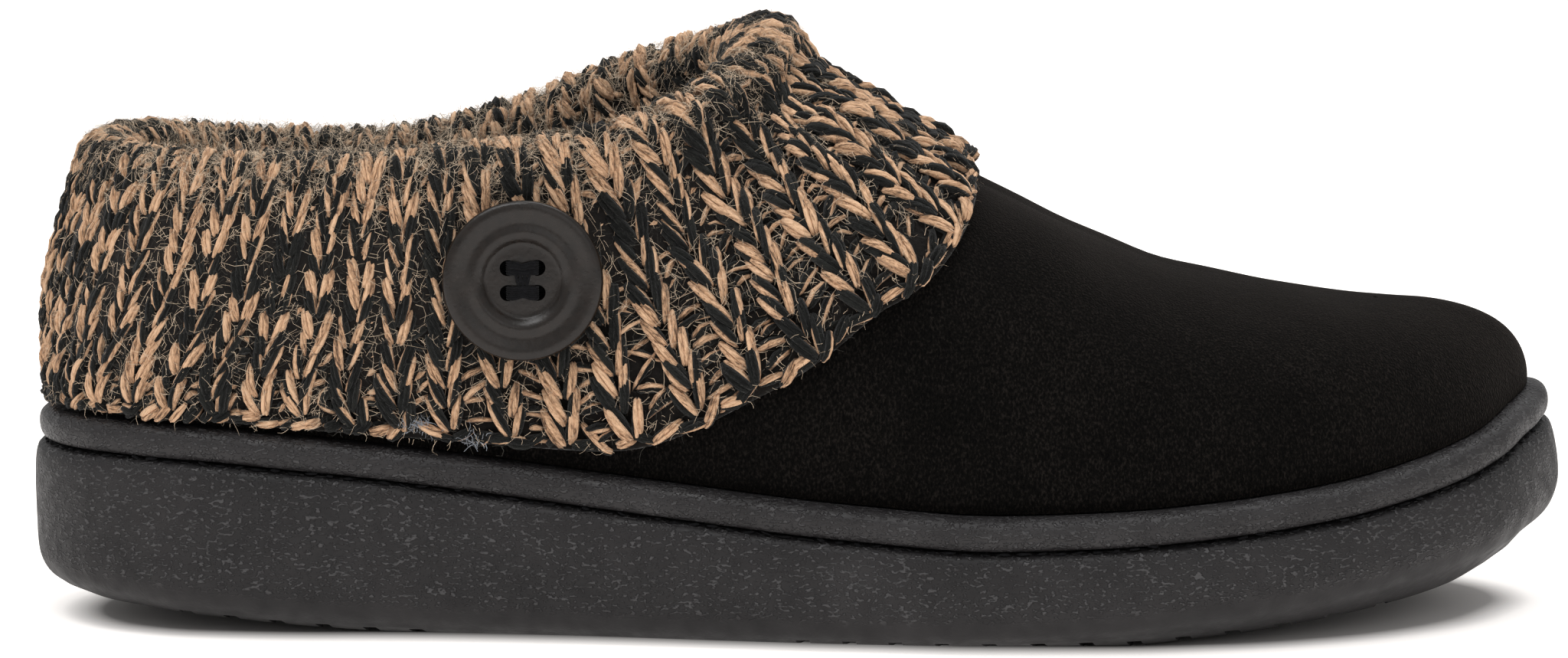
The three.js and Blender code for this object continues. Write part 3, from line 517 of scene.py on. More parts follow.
class Look:
    """A material put together from plain nodes. Colours are given as 0 to 255 in sRGB."""

    def __init__(self, name, colour, roughness, sheen=0.0, specular=0.5):
        self.material = bpy.data.materials.new(name)
        self.material.use_nodes = True
        self.tree = self.material.node_tree
        self.shader = self.tree.nodes["Principled BSDF"]
        self.feed(self.shader, {
            "Base Color": (*srgb(colour), 1), "Roughness": roughness,
            "Specular IOR Level": specular, "Sheen Weight": sheen, "Sheen Roughness": 0.5})
        self.place = self.add("ShaderNodeTexCoord").outputs["Object"]

    def feed(self, node, inputs):
        """Sets a node's sockets to plain values, or links them to other nodes' outputs."""
        for socket, value in inputs.items():
            if isinstance(value, bpy.types.NodeSocket):
                self.tree.links.new(value, node.inputs[socket])
            else:
                node.inputs[socket].default_value = value

    def add(self, kind, inputs=None, **settings):
        node = put(self.tree.nodes.new(kind), **settings)
        self.feed(node, inputs or {})
        return node

    def drawn(self, name, output="Fac"):
        """An attribute that the mesh carries."""
        return self.add("ShaderNodeAttribute", attribute_name=name).outputs[output]

    def noise_at(self, place, scale, detail, rough):
        inputs = {"Scale": scale, "Detail": detail, "Roughness": rough, "Vector": place}
        return self.add("ShaderNodeTexNoise", inputs).outputs["Fac"]

    def noise(self, scale, detail=2.0, rough=0.5, stretch=(1, 1, 1)):
        """Noise with features about 1/scale metres wide."""
        place = self.add("ShaderNodeMapping", {"Scale": stretch, "Vector": self.place})
        return self.noise_at(place.outputs["Vector"], scale, detail, rough)

    def fibres(self, scale, detail=2.0, rough=0.5):
        """Noise that runs along a strand, with features about 1/scale millimetres wide."""
        return self.noise_at(self.drawn("fibre", "Vector"), scale, detail, rough)

    def wrinkles_and_highlights(self, scale):
        """Short level wrinkles at the peaks of a stretched noise, for bump and a painted highlight.
        """
        peaks = self.noise(scale, 1, 0.5, (0.6, 0.6, 1.2))
        risen = self.maths("SUBTRACT", self.maths("MULTIPLY", peaks, 7), 3.55)
        return self.maths("MINIMUM", self.maths("MAXIMUM", risen, 0), 1)

    def ramp(self, value, stops):
        node = self.add("ShaderNodeValToRGB", {"Fac": value})
        ramp = node.color_ramp
        while len(ramp.elements) < len(stops):
            ramp.elements.new(0.5)
        for element, (at, colour) in zip(ramp.elements, stops):
            element.position = at
            element.color = (*colour, 1)
        return node.outputs["Color"]

    def colour(self, value, *stops):
        ramp = self.ramp(value, [(at, srgb(colour)) for at, colour in stops])
        self.feed(self.shader, {"Base Color": ramp})

    def roughen(self, value, low, high):
        ramp = self.ramp(value, [(0.3, (low,) * 3), (0.7, (high,) * 3)])
        self.feed(self.shader, {"Roughness": ramp})

    def maths(self, operation, a, b):
        return self.add("ShaderNodeMath", {0: a, 1: b}, operation=operation).outputs[0]

    def blend(self, *parts):
        """The sum of some values, each by its weight."""
        total, *others = [self.maths("MULTIPLY", value, weight) for value, weight in parts]
        for other in others:
            total = self.maths("ADD", total, other)
        return total

    def bump(self, height, depth_mm, strength=1.0):
        inputs = {"Strength": strength, "Distance": depth_mm * MM, "Height": height}
        normal = self.add("ShaderNodeBump", inputs).outputs["Normal"]
        self.feed(self.shader, {"Normal": normal})


def rubber_look():
    look = Look("outsole_foam", (36, 34, 34), 0.58, specular=0.3)
    wrinkles_and_highlights = look.maths("MULTIPLY", look.wrinkles_and_highlights(1800), look.drawn("pebble"))
    # The wall's colour mixes its own uneven tone with a painted highlight on the raised wrinkles.
    tone_and_painted_light = look.blend((look.noise(60, 3), 0.4), (wrinkles_and_highlights, 0.4))
    look.colour(tone_and_painted_light, (0.12, (23, 22, 23)), (0.26, (30, 28, 29)), (0.6, (64, 63, 64)))
    look.bump(look.blend((wrinkles_and_highlights, 1), (look.noise(1500, 2), 0.15)), 0.5)
    look.roughen(look.noise(300, 2), 0.46, 0.66)
    return look.material


def cover_look():
    look = Look("midsole_cover", (36, 34, 35), 0.5, specular=0.35)
    wrinkles_and_highlights = look.wrinkles_and_highlights(1900)
    # As on the outsole, the raised wrinkles also get a painted highlight in the colour.
    tone_and_painted_light = look.blend((look.noise(90, 3), 0.5), (wrinkles_and_highlights, 0.3))
    look.colour(tone_and_painted_light, (0.18, (28, 26, 27)), (0.34, (38, 36, 37)), (0.6, (58, 57, 58)))
    look.bump(look.blend((wrinkles_and_highlights, 0.6), (look.noise(160, 4, 0.6, (1, 1, 1.8)), 1)), 0.6)
    look.roughen(look.noise(240, 3), 0.4, 0.6)
    return look.material


def suede_look():
    look = Look("suede", (13, 12, 11), 0.95, sheen=0.09, specular=0.05)
    tint = (*srgb((170, 156, 146)), 1)
    look.feed(look.shader, {"Sheen Roughness": 0.4, "Sheen Tint": tint})
    nap = look.noise(2600, 2, 0.6, (1, 1, 0.6))
    brushed = look.blend((look.noise(40, 5, 0.6), 0.2), (nap, 0.8))
    look.colour(brushed, (0.36, (3, 3, 3)), (0.52, (10, 9, 8)), (0.68, (29, 26, 24)))
    look.bump(look.blend((nap, 0.7), (look.noise(320, 4, 0.6), 0.5)), 0.5, 0.9)
    return look.material


def cloth_look(name, light, dark, scale, sheen=0.15):
    look = Look(name, light, 0.95, sheen=sheen, specular=0.2)
    look.colour(look.noise(scale, 3), (0.3, dark), (0.7, light))
    look.bump(look.noise(scale * 1.6, 2), 0.3, 0.8)
    return look.material


def yarn_look(name, light, dark, deep):
    look = Look(name, light, 0.92, sheen=0.1, specular=0.12)
    fibres = look.fibres(2.6, 3, 0.7)
    # The fibre noise sets both colour and bump, so the low fibres are darker: partly their own
    # tone, partly painted shade in the crevices. The deep colour is the darkest of that shade.
    tone_and_painted_light = look.blend((fibres, 0.7), (look.fibres(0.03, 0), 0.3))
    look.colour(tone_and_painted_light, (0.38, deep), (0.47, dark), (0.58, light))
    look.bump(look.blend((fibres, 1), (look.noise(1500, 2, 0.6), 0.6)), 0.5, 0.9)
    return look.material


rubber = rubber_look()
cover = cover_look()
suede = suede_look()
lining = cloth_look("lining", (58, 52, 47), (40, 36, 33), 900)
felt = cloth_look("insole_felt", (70, 64, 58), (52, 47, 43), 700)
# The knit's inner body is coloured as painted shade between the yarns, darker than its yarn.
core_shade_look = cloth_look("knit_core_shade", (24, 21, 18), (12, 10, 9), 800)
yarn_light = yarn_look("yarn_beige", (226, 187, 152), (190, 151, 118), (98, 76, 60))
yarn_dark = yarn_look("yarn_charcoal", (30, 31, 29), (16, 17, 16), (6, 7, 7))
fuzz_light, fuzz_dark, lint = (
    Look(name, colour, 0.9, specular=0.1).material for name, colour in (
        ("fuzz_beige", (210, 190, 166)), ("fuzz_grey", (76, 74, 69)),
        ("lint_grey", (128, 132, 138))))


def plastic_look():
    look = Look("button_plastic", (24, 20, 17), 0.3, specular=0.36)
    look.colour(look.noise(500, 4, 0.6), (0.3, (15, 10, 6)), (0.7, (26, 19, 14)))
    look.roughen(look.noise(900, 3), 0.24, 0.36)
    look.bump(look.noise(1400, 3), 0.08, 0.6)
    return look.material


plastic = plastic_look()
cotton = cloth_look("thread_cotton", (14, 14, 17), (4, 4, 6), 1500, 0.02)


def shown(obj, node=None):
    """Puts a piece on the shoe's one body, perhaps in a solid's stead."""
    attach(obj, "root")
    if node:
        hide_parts(node)


# Sole

STATIONS = 320
FIBRE_WIND = 0.5
FIBRE_STRETCH = 0.16
HEEL_GROOVES, FRONT_GROOVES, GROOVE_PITCH = (26, 67), (134, 231), 8
GROOVE_HALF, GROOVE_DEPTH, ZIGZAG = 1.2, 1.6, 2.5
PEBBLED_FROM = 3.6, 6.2
laps = np.arange(STATIONS) * 2 / STATIONS


def side_rings(rows, fine, height):
    """Rings from a profile's rows (inset, level, drop, flare), smoothed between them."""
    flare = TOE_FLARE * toe_share(laps)
    rings = []
    for inset, level, drop, leaves in rows:
        xy = outline(laps, inset + leaves * flare)
        rings.append(np.concatenate([xy, height(level, drop)[:, None]], -1))
    return evened(np.stack(rings, 1), fine).transpose(1, 0, 2)


def outsole_height(level, drop):
    return lerp(outsole_edge(laps), outsole_top(laps), level) - drop


def flat_ring(inset, height):
    return np.concatenate([outline(laps, np.full(STATIONS, inset)), height[:, None]], -1)


def make_outsole():
    side = side_rings([
        (2.6, 1, 0, 1), (0.7, 1, 0.7, 1), (0.1, 1, 2.4, 0.8), (0, 0.45, 0, 0),
        (0.5, 0, -4.6, 0), (1.8, 0, -2, 0), (4.2, 0, -0.2, 0),
    ], 34, outsole_height)
    bevel = flat_ring(8, lerp(tread_level(laps), outsole_edge(laps), 0.4))
    tread = flat_ring(11.5, tread_level(laps))
    rings = [*side, (side[-1] + bevel) / 2, bevel, (bevel + tread) / 2, tread]
    body = ring_solid("outsole_body", rings, [rubber])
    # The tread's grooves: zigzags across the sole, in one field at the heel and one in front.
    section = ((-1, -1), (1, -1), (1, 1), (-1, 1))
    knees = [(across, ZIGZAG * (-1) ** (i + 1)) for i, across in enumerate((-1, -0.5, 0, 0.5, 1))]
    grooves = []
    for x in [*range(*HEEL_GROOVES, GROOVE_PITCH), *range(*FRONT_GROOVES, GROOVE_PITCH)]:
        level = float(tread_level(place_of(x / SOLE_LENGTH)))
        grooves.append([[
            (x + step + GROOVE_HALF * dx, across * BALL_WIDTH / 2, level + GROOVE_DEPTH * dz)
            for dx, dz in section] for across, step in knees])
    made = cut_away(body, cutter_of(np.array(grooves)), 35)
    place = np.empty(len(made.vertices) * 3, np.float32)
    made.vertices.foreach_get("co", place)
    place = place.reshape(-1, 3) / MM + ORIGIN
    lap = place_of(np.clip(place[:, 0] / SOLE_LENGTH, 0, 1))
    draw(made, "pebble", smooth(place[:, 2] - outsole_edge(lap), *PEBBLED_FROM))
    shown(body, "outsole")


def make_midsole():
    def height(level, drop):
        return lerp(outsole_top(laps) + GAP, midsole_top(laps), level)

    rings = side_rings([
        (3.2, 0, 0, 1), (1.3, 0.12, 0, 1), (0.8, 0.45, 0, 1), (1.2, 0.78, 0, 1),
        (2.7, 0.97, 0, 1), (5, 1, 0, 1),
    ], 26, height)
    # The cover puckers a little along its length.
    wave = 0.16 * np.sin(laps * 61 + 2 * np.sin(laps * 17)) + 0.12 * np.sin(laps * 143 + 1)
    swell = np.sin(np.linspace(0, math.pi, len(rings)))[:, None] * wave[None]
    away = outline(laps) - outline(laps, np.ones(STATIONS))
    rings[..., :2] += swell[..., None] * away[None] * np.where(swell[..., None] > 0, 0.6, 1)
    shown(ring_solid("midsole_band", rings, [cover]), "midsole")


def make_insole():
    inset = WALL_INSET + WALL_THICKNESS + GAP + 0.6
    base = midsole_top(laps) + GAP
    rings = [flat_ring(i, base + h) for i, h in (
        (inset, 0), (inset, 1.6), (inset + 0.2, 2.3), (inset + 0.7, 2.8), (inset + 1.5, 3))]
    obj = ring_solid("insole_pad", rings, [felt])
    shown(obj, "insole")


def make_stitch_line():
    """Small dark stitches in the groove between the outsole and the wrapped midsole."""
    pitch = 3.1
    fine = np.linspace(0, 2, 4000, endpoint=False)
    ring = outline(fine, 1.7 + TOE_FLARE * toe_share(fine))
    length = sums(gaps_of(ring))
    count = int(length[-1] / pitch)
    at = np.interp((np.arange(count) + 0.5) * pitch, length, fine)
    reach = rng.uniform(0.2, 0.42, count)
    half = np.interp((np.arange(count) + 0.5 + reach) * pitch, length, fine) - at
    t = np.linspace(-1, 1, 6)
    lap = at[:, None] + half[:, None] * t[None]
    inset = 1.75 + TOE_FLARE * toe_share(lap) + 0.5 * t[None] ** 4
    xy = outline(lap, inset)
    off, tilt = rng.normal(0, 0.16, (count, 1)), rng.normal(0, 0.15, (count, 1))
    z = outsole_top(lap) + 0.05 + off + tilt * t[None]
    centre = np.concatenate([xy, z[..., None]], -1)
    radius = 0.25 * np.sqrt(np.clip(1.02 - t**2, 0.02, 1))[None] * rng.uniform(0.6, 1.2, (count, 1))
    shown(strands("sole_stitches", centre, radius, UP, 5, [cotton]))


def strands(name, centre, radius, lift, sides, materials):
    """Round strands along centre[n, k] that end in points. lift is a direction, or one for each
    point, that is never along the strand. The fibre attribute winds round each strand."""
    tangent = unit(np.gradient(centre, axis=1))
    across = unit(np.cross(np.broadcast_to(lift, centre.shape), tangent))
    over = np.cross(tangent, across)
    angle = np.arange(sides) * 2 * math.pi / sides
    ring = centre[:, :, None] + radius[:, :, None, None] * (
        np.cos(angle)[:, None] * across[:, :, None] + np.sin(angle)[:, None] * over[:, :, None])
    n, k = centre.shape[:2]
    body = ring[:, 1:-1].reshape(n, -1, 3)
    points = np.concatenate([centre[:, :1], body, centre[:, -1:]], 1)
    quads = grid_faces(k - 2, sides, closed_across=True) + 1
    side = np.arange(sides)
    after = (side + 1) % sides
    last = 1 + (k - 3) * sides
    tip = np.full(sides, 1 + (k - 2) * sides)
    tips = np.concatenate([
        np.stack([0 * side, 1 + side, 1 + after], -1),
        np.stack([tip, last + after, last + side], -1)])
    faces = [repeated(part, n, points.shape[1]) for part in (quads, tips)]
    obj = add_mesh(name, points, faces, materials)
    far = sums(gaps_of(centre))[..., None]
    wind = angle[None, None] + FIBRE_WIND * far
    local = np.stack([
        radius[..., None] * np.cos(wind), radius[..., None] * np.sin(wind),
        np.broadcast_to(FIBRE_STRETCH * far, wind.shape)], -1)
    local[..., 2] += rng.uniform(0, 400, (n, 1, 1))
    ends = local[:, (0, -1), :1] * np.array([0, 0, 1])
    fibre = np.concatenate([ends[:, 0], local[:, 1:-1].reshape(n, -1, 3), ends[:, 1]], 1)
    draw(obj.data, "fibre", fibre.reshape(-1, 3))
    return obj


# Upper

def make_upper():
    around, up = 320, 44
    lap = np.arange(around) * 2 / around
    place = np.where(lap <= 1, lap, 2 - lap)
    side = np.where(lap <= 1, -1.0, 1.0)
    share = np.linspace(0, 1, up)
    outer = wall_point(side[:, None], place[:, None], share[None])
    normal = wall_normal(side[:, None], place[:, None], share[None])
    x, y = outer[..., 0], outer[..., 1]

    # Creases: (x, y, angle, length, width, depth), soft troughs in the suede's own sizes.
    creases = [
        (186, -18, 78, 34, 5.0, 0.55), (198, 6, 95, 40, 6.0, 0.45), (211, -14, 84, 30, 5.0, 0.4),
        (176, 30, 100, 26, 5.0, 0.5), (206, 34, 108, 22, 5.0, 0.35), (228, -4, 90, 26, 6.0, 0.3),
        (165, -34, 60, 22, 4.5, 0.4),
    ]
    dent = np.zeros_like(x)
    for cx, cy, turn, long, wide, deep in creases:
        c, s = math.cos(math.radians(turn)), math.sin(math.radians(turn))
        u = (x - cx) * c + (y - cy) * s
        v = -(x - cx) * s + (y - cy) * c
        body = np.exp(-((u / (long / 2)) ** 2))
        trough = np.exp(-((v / wide) ** 2))
        swell = np.exp(-(((v - 1.7 * wide) / wide) ** 2))
        dent += deep * body * (trough - 0.45 * swell)
    sag = 0.22 * np.sin(x / 9.0 + y / 15.0) * smooth(share, 0.1, 0.4)[None] * smooth(x, 150, 180)
    outer = outer - normal * (dent * smooth(share, 0.05, 0.3)[None] + sag)[..., None]
    inner = outer - normal * WALL_THICKNESS
    inner[:, 0, 2] = outer[:, 0, 2]
    points = np.concatenate([outer.reshape(-1, 3), inner.reshape(-1, 3)])
    skin = grid_faces(around, up, closed_rows=True)
    back = skin[:, ::-1] + around * up
    r = np.arange(around)
    r2 = (r + 1) % around
    foot = np.stack([r * up, r2 * up, r2 * up + around * up, r * up + around * up], -1)
    opened = (place < THROAT_PLACE) & (place[r2] < THROAT_PLACE)
    top = (foot + up - 1)[opened]
    faces = np.concatenate([skin, back, foot, top])
    index = np.repeat([0, 1, 0], [len(skin), len(back), len(foot) + len(top)])
    obj = add_mesh("upper_suede", points, faces, [suede, lining], index=index)
    shown(cleaned(obj, weld=2e-5), "upper")


# Collar

WALES = 52
ROWS_IN = 7
ROWS_OUT = 14
ROWS_HEM = 0.8
PER_WALE = 4
PER_ROW = 3
BACK_PITCH, FRONT_PITCH = 7.4, 12.0
FOLD_PITCH, FAN_PITCH, THROAT_PITCH = 5.75, 7.6, 4.7
HEEL_WIND = 1.6
LINT, LINT_WALE = 150, 12.85


def evenly(line, width):
    """Signed turn of each wale along a line of points from the heel (0) to the throat (1)."""
    count = sums(gaps_of(line) / width)
    wales_at = count * WALES / 2 / count[-1]
    share = np.linspace(0, 1, len(line))
    return lambda wale: np.sign(wale) * np.interp(np.abs(wale), wales_at, share)


def wale_turns(wale):
    """Signed turn of each wale at the fold and at the hem, positive on the outer side. The hem's
    wales are pulled wider in front of the button, and the rib winds back round the heel."""
    turn = np.linspace(0, 1, 400)
    hem = leg_outer(-1.0, turn, 0.97)
    fold = fold_top(-1.0, turn)
    middle = (hem[1:, 0] + hem[:-1, 0]) / 2
    at_hem = evenly(hem, lerp(BACK_PITCH, FRONT_PITCH, smooth(middle, 60, 110)))
    over = (fold[1:, 0] + fold[:-1, 0]) / 2
    open_pitch = lerp(FOLD_PITCH, FAN_PITCH, smooth(over, 86, 94))
    at_fold = evenly(fold, lerp(open_pitch, THROAT_PITCH, smooth(over, 117, 124)))
    signed = np.where(wale <= WALES / 2, wale, wale - WALES)
    wound = signed - HEEL_WIND * np.exp(-(((signed - 4) / 8) ** 2))
    return at_fold(signed), at_hem(wound)


def lateral(signed_turn):
    return np.where(signed_turn >= 0, -1.0, 1.0)


def collar_grid():
    """The knit's outer face by wale and row, its normals and, for each point, one deep inside.
    Row 0 is the top of the fold, rows below 0 go down inside and rows above 0 to the hem. Also
    gives the width of the wales and the core's own inner face."""
    wale = np.arange(WALES * PER_WALE) / PER_WALE
    at_fold, at_hem = wale_turns(wale)
    side, turn = lateral(at_fold), np.abs(at_fold)
    step = 0.01
    run = unit((fold_top(side, turn + step) - fold_top(side, turn - step)) * np.array([1, 1, 0]))
    outward = np.stack([-side * run[:, 1], side * run[:, 0], 0 * side], -1)
    roll = lerp(ROLL_BACK, ROLL_FRONT, collar["roll"](turn))[:, None]
    top = fold_top(side, turn)
    centre = top - UP * roll
    foot = leg_outer(lateral(at_hem), np.abs(at_hem), 1.0)
    lean = (foot[:, 0] - top[:, 0]) / (top[:, 2] - foot[:, 2])
    near = np.minimum(wale, WALES - wale)
    open_share = smooth(near, 11, 15) * (1 - smooth(near, WALES / 2 - 5, WALES / 2 - 2))

    def on_roll(degrees):
        a = math.radians(degrees)
        drop = roll * (1 - math.sin(a)) * (degrees < 90)
        pulled = run * drop * (open_share * lean / np.maximum(run[:, 0], 0.5))[:, None]
        return centre + outward * roll * math.cos(a) + UP * roll * math.sin(a) + pulled

    def straight(share):
        """Signed turns that keep each wale, seen from the side, on a line from fold to hem."""
        turns = np.linspace(0, 1, 401)
        found = np.empty(len(wale))
        for one_side in (-1.0, 1.0):
            mine = side == one_side
            at = leg_outer(one_side, turns, share)
            drop = top[mine, 2:] - at[None, :, 2]
            off = at[None, :, 0] - top[mine, :1] - lean[mine, None] * drop
            off[:, -1] = 1
            first = np.maximum(np.argmax(off >= 0, 1), 1)
            each = np.arange(mine.sum())
            before, after = off[each, first - 1], off[each, first]
            step_share = np.clip(before / np.minimum(before - after, -1e-9), 0, 1)
            found[mine] = -one_side * (first - 1 + step_share) / 400
        return found

    def on_leg(share, height=None):
        signed = lerp(at_fold, at_hem, share)
        signed = lerp(signed, straight(share), open_share)
        if height is None:
            return leg_outer(lateral(signed), np.abs(signed), share)
        return leg_point(lateral(signed), np.abs(signed), share, np.full(len(turn), height))

    controls = [
        on_leg(0.0, -0.85 * WALL_THICKNESS), *(on_roll(angle) for angle in (180, 135, 90, 45)),
        (on_leg(0.14) + on_roll(25)) / 2,
        *(on_leg(share) for share in (0.3, 0.47, 0.64, 0.81, 1.0)),
    ]
    fine, length = through(np.stack(controls, 1))
    fold = length[:, 3 * FINE][:, None]
    total = ROWS_OUT + ROWS_HEM
    rows = np.arange(-ROWS_IN * PER_ROW, int(total * PER_ROW) + 2) / PER_ROW
    rows[-1] = total
    marks = np.where(
        rows[None] < 0,
        fold * (1 + rows[None] / ROWS_IN),
        fold + (length[:, -1:] - fold) * rows[None] / total)
    grid = even(fine, length, marks)
    for _ in range(2):  # Evens out the wales.
        grid = (np.roll(grid, 1, 0) + 2 * grid + np.roll(grid, -1, 0)) / 4
    forward = run * -side[:, None]
    across = np.roll(grid, -1, 0) - np.roll(grid, 1, 0)
    steady = unit(unit(across) + 0.5 * forward[:, None])
    normal = unit(np.cross(np.gradient(grid, axis=1), steady))
    shares = np.clip(rows / total, 0, 1)
    under = np.stack([on_leg(share, GAP + 0.3) for share in shares], 1)
    off = smooth(np.abs(rows), 1, 5)[None, :, None]
    deep = lerp(centre[:, None], under, off)
    pitch = np.linalg.norm(across, axis=-1) * PER_WALE / 2
    back = np.stack([on_leg(share, 0.35) for share in np.linspace(0.97, 0.02, 16)], 1)
    return rows, grid, normal, deep, pitch, back


rows_at, knit_grid, knit_normal, knit_deep, wale_pitch, knit_back = collar_grid()


def on_knit(field, wale, row):
    """A field of the knit at any wale and row."""
    u = np.mod(wale, WALES) * PER_WALE
    v = np.clip((row + ROWS_IN) * PER_ROW, 0, len(rows_at) - 1.001)
    i, j = np.floor(u).astype(int), np.floor(v).astype(int)
    a, b = u - i, v - j
    if field.ndim == 3:
        a, b = a[..., None], b[..., None]
    n = len(field)
    i, i2 = i % n, (i + 1) % n
    return (field[i, j] * (1 - a) * (1 - b) + field[i2, j] * a * (1 - b)
            + field[i, j + 1] * (1 - a) * b + field[i2, j + 1] * a * b)


def yarn(name, wale, row, lift, radius, twist, phase, plies, sides):
    """Marled yarn along paths of wale, row and lift [n, k]: half of its plies are light and half
    are dark, side by side round the yarn. phase 0 turns the light half outward."""
    normal = unit(on_knit(knit_normal, wale, row))
    centre = on_knit(knit_grid, wale, row) + normal * lift[..., None]
    tangent = unit(np.gradient(centre, axis=1))
    across = unit(np.cross(normal, tangent))
    t = np.linspace(0, 1, wale.shape[1])[None]
    slim = {2: 0.62, 4: 0.5}[plies]
    paths = []
    for ply in range(plies):
        place = (ply + 0.5) * 2 * math.pi / plies - math.pi / 2
        angle = (phase[:, None] + place + twist[:, None] * (t - 0.5))[..., None]
        away = radius[..., None] * (1 - slim)
        paths.append(centre + (np.cos(angle) * normal + np.sin(angle) * across) * away)
    for tag, material, half, thick in (
            ("light", yarn_light, 0, 0.84), ("dark", yarn_dark, 1, 1.0)):
        chosen = paths[half * plies // 2:(half + 1) * plies // 2]
        n = len(chosen)
        shown(strands(
            f"{name}_{tag}", np.concatenate(chosen), np.tile(radius * slim * thick, (n, 1)),
            np.tile(normal, (n, 1, 1)), sides, [material]))


def pulled_open(wale):
    """How far the rib is pulled open: closed round the heel, open in front of the button."""
    wale = np.mod(wale, WALES)
    return smooth(np.minimum(wale, WALES - wale), 11, 16)


def drifting(rows, columns_of_knit, step):
    """A turn of the yarn for every stitch, which goes on unevenly along each row."""
    start = rng.uniform(0, 2 * math.pi, (rows, 1))
    pace = rng.choice([-1, 1], (rows, 1)) * rng.uniform(0.6, 1.4, (rows, 1)) * step
    return start + np.cumsum(pace + rng.normal(0, step, (rows, columns_of_knit)), 1)


def along_leg(steps):
    """Shares of a strand's length, closer together at both ends."""
    return (1 - np.cos(math.pi * np.linspace(0, 1, steps)))[None] / 2


def blunt(t):
    """A strand's thickness along its length, full until close to both ends."""
    return np.clip(np.sin(math.pi * (0.02 + 0.96 * t)), 0, 1) ** 0.3


def make_stitches(name, first, last, wale_range, steps, sides):
    """Knit stitches of some rows: two legs of yarn that meet in a point towards the hem."""
    rows, wales = np.meshgrid(np.arange(first, last), np.arange(WALES), indexing="ij")
    base_phase = drifting(last - first, WALES, 1.1)
    base_phase = base_phase - 0.15 * np.sin(2 * base_phase)
    keep = (wales >= wale_range[0]) & (wales < wale_range[1])
    rows, wales, base_phase = rows[keep] + 0.5, wales[keep] + 0.5, base_phase[keep]
    n = len(wales)
    wander = 0.06 * np.sin(rows * 0.9 + wales * 2.3) + rng.normal(0, 0.025, n)
    slip = rng.normal(0, 0.08, n) + 0.18 * np.sin(wales * 1.7)
    front = pulled_open(wales)
    fat = rng.normal(1, 0.12, n).clip(0.72, 1.22)
    pitch = on_knit(wale_pitch, wales, rows)
    half = np.clip(0.38 * pitch - 0.5, 1.25, 2.8)
    t = along_leg(steps)
    legs = []
    for leg in (-1, 1):
        x = leg * ((half[:, None] - 0.5) * (1 - t) ** 0.85 + 0.5 - 0.1 * t)
        x = x * rng.normal(1, 0.06, (n, 1))
        wale = (wales + wander)[:, None] + x / np.maximum(pitch, 4)[:, None]
        row = (rows + slip + rng.normal(0, 0.06, n))[:, None] - 0.95 + 1.8 * t
        rise = np.clip(np.sin(math.pi * (0.06 + 0.87 * t)), 0, 1) ** 0.45
        lift = -3.1 + 2.05 * rise + 0.25 * t + rng.normal(0, 0.12, (n, 1))
        thick = fat * (1 - leg * 0.13 * front)
        radius = lerp(1.12, 1.36, front)[:, None] * thick[:, None] * blunt(t)
        phase = base_phase + rng.normal(0.3 * leg, 0.3, n)
        legs.append((wale, row, lift, radius, rng.normal(1.4, 0.5, n), phase))
    joined = [np.concatenate(pair) for pair in zip(*legs)]
    yarn(name, *joined, 4, sides)


def make_ladders():
    """The rib's purl bumps: short strands across the valleys between the knit wales."""
    count = int(1.5 * (ROWS_OUT + 4))
    bumps, wales = np.meshgrid(np.arange(count), np.arange(WALES), indexing="ij")
    phase = drifting(count, WALES, 0.8).ravel()
    wales, rows = wales.ravel().astype(float), bumps.ravel() / 1.5 - 3.0
    n = len(wales)
    t = along_leg(5)
    pitch = np.maximum(on_knit(wale_pitch, wales, rows), 4)[:, None]
    wide = np.maximum(0.5 * pitch - 2.4, 1.0) * rng.normal(1, 0.2, (n, 1))
    wale = wales[:, None] + (2 * t - 1) * wide / pitch + rng.normal(0, 0.05, (n, 1))
    tilt = rng.normal(0.12, 0.22, (n, 1))
    row = (rows + rng.normal(0, 0.13, n))[:, None] - tilt * (2 * t - 1)
    row = row - 0.12 * np.sin(math.pi * t)
    lift = -2.75 + 0.9 * np.sin(math.pi * t) + rng.normal(0, 0.3, (n, 1))
    radius = 0.95 * blunt(t) * rng.normal(1, 0.15, (n, 1))
    yarn("knit_ladder", wale, row, lift, radius, rng.normal(1.2, 0.5, n), phase, 2, 4)


def make_hem():
    """The cast-off edge: a chain of short fat loops round the free edge."""
    n = WALES * 3
    t = along_leg(7)
    at = np.arange(n)[:, None] / 3.0 + rng.normal(0, 0.05, (n, 1))
    reach = rng.normal(0.23, 0.04, (n, 1))
    tilt = rng.normal(0.15, 0.28, (n, 1))
    wale = at + reach * (2 * t - 1)
    row = ROWS_OUT + 0.42 + rng.normal(0, 0.08, (n, 1)) - tilt * (2 * t - 1)
    lift = -2.4 + 1.1 * np.sin(math.pi * t) + rng.normal(0, 0.25, (n, 1))
    radius = rng.normal(1.12, 0.15, (n, 1)) * blunt(t)
    phase = rng.normal(0, 0.5, n) + np.where(rng.random(n) < 0.42, 0, math.pi)
    yarn("knit_hem", wale, row, lift, radius, rng.normal(0.8, 0.4, n), phase, 4, 5)


def make_core():
    """The knit's inner body, seen only between the yarns, coloured near black as painted shade."""
    way = knit_deep - knit_grid
    far = np.linalg.norm(way, axis=-1, keepdims=True)
    deep = knit_grid + way / far * np.minimum(2.7, 0.8 * far)
    loop = np.concatenate([deep, knit_back], 1)
    obj = add_mesh("collar_core", loop, grid_faces(*loop.shape[:2], True, True), [core_shade_look])
    shown(cleaned(obj), "collar")


def all_over(count):
    """Places on the knit, closer together on the fold."""
    row = rng.uniform(-ROWS_IN, ROWS_OUT + ROWS_HEM, count)
    crown = rng.random(count) < 0.36
    return rng.uniform(0, WALES, count), np.where(crown, rng.normal(0, 1.9, count), row)


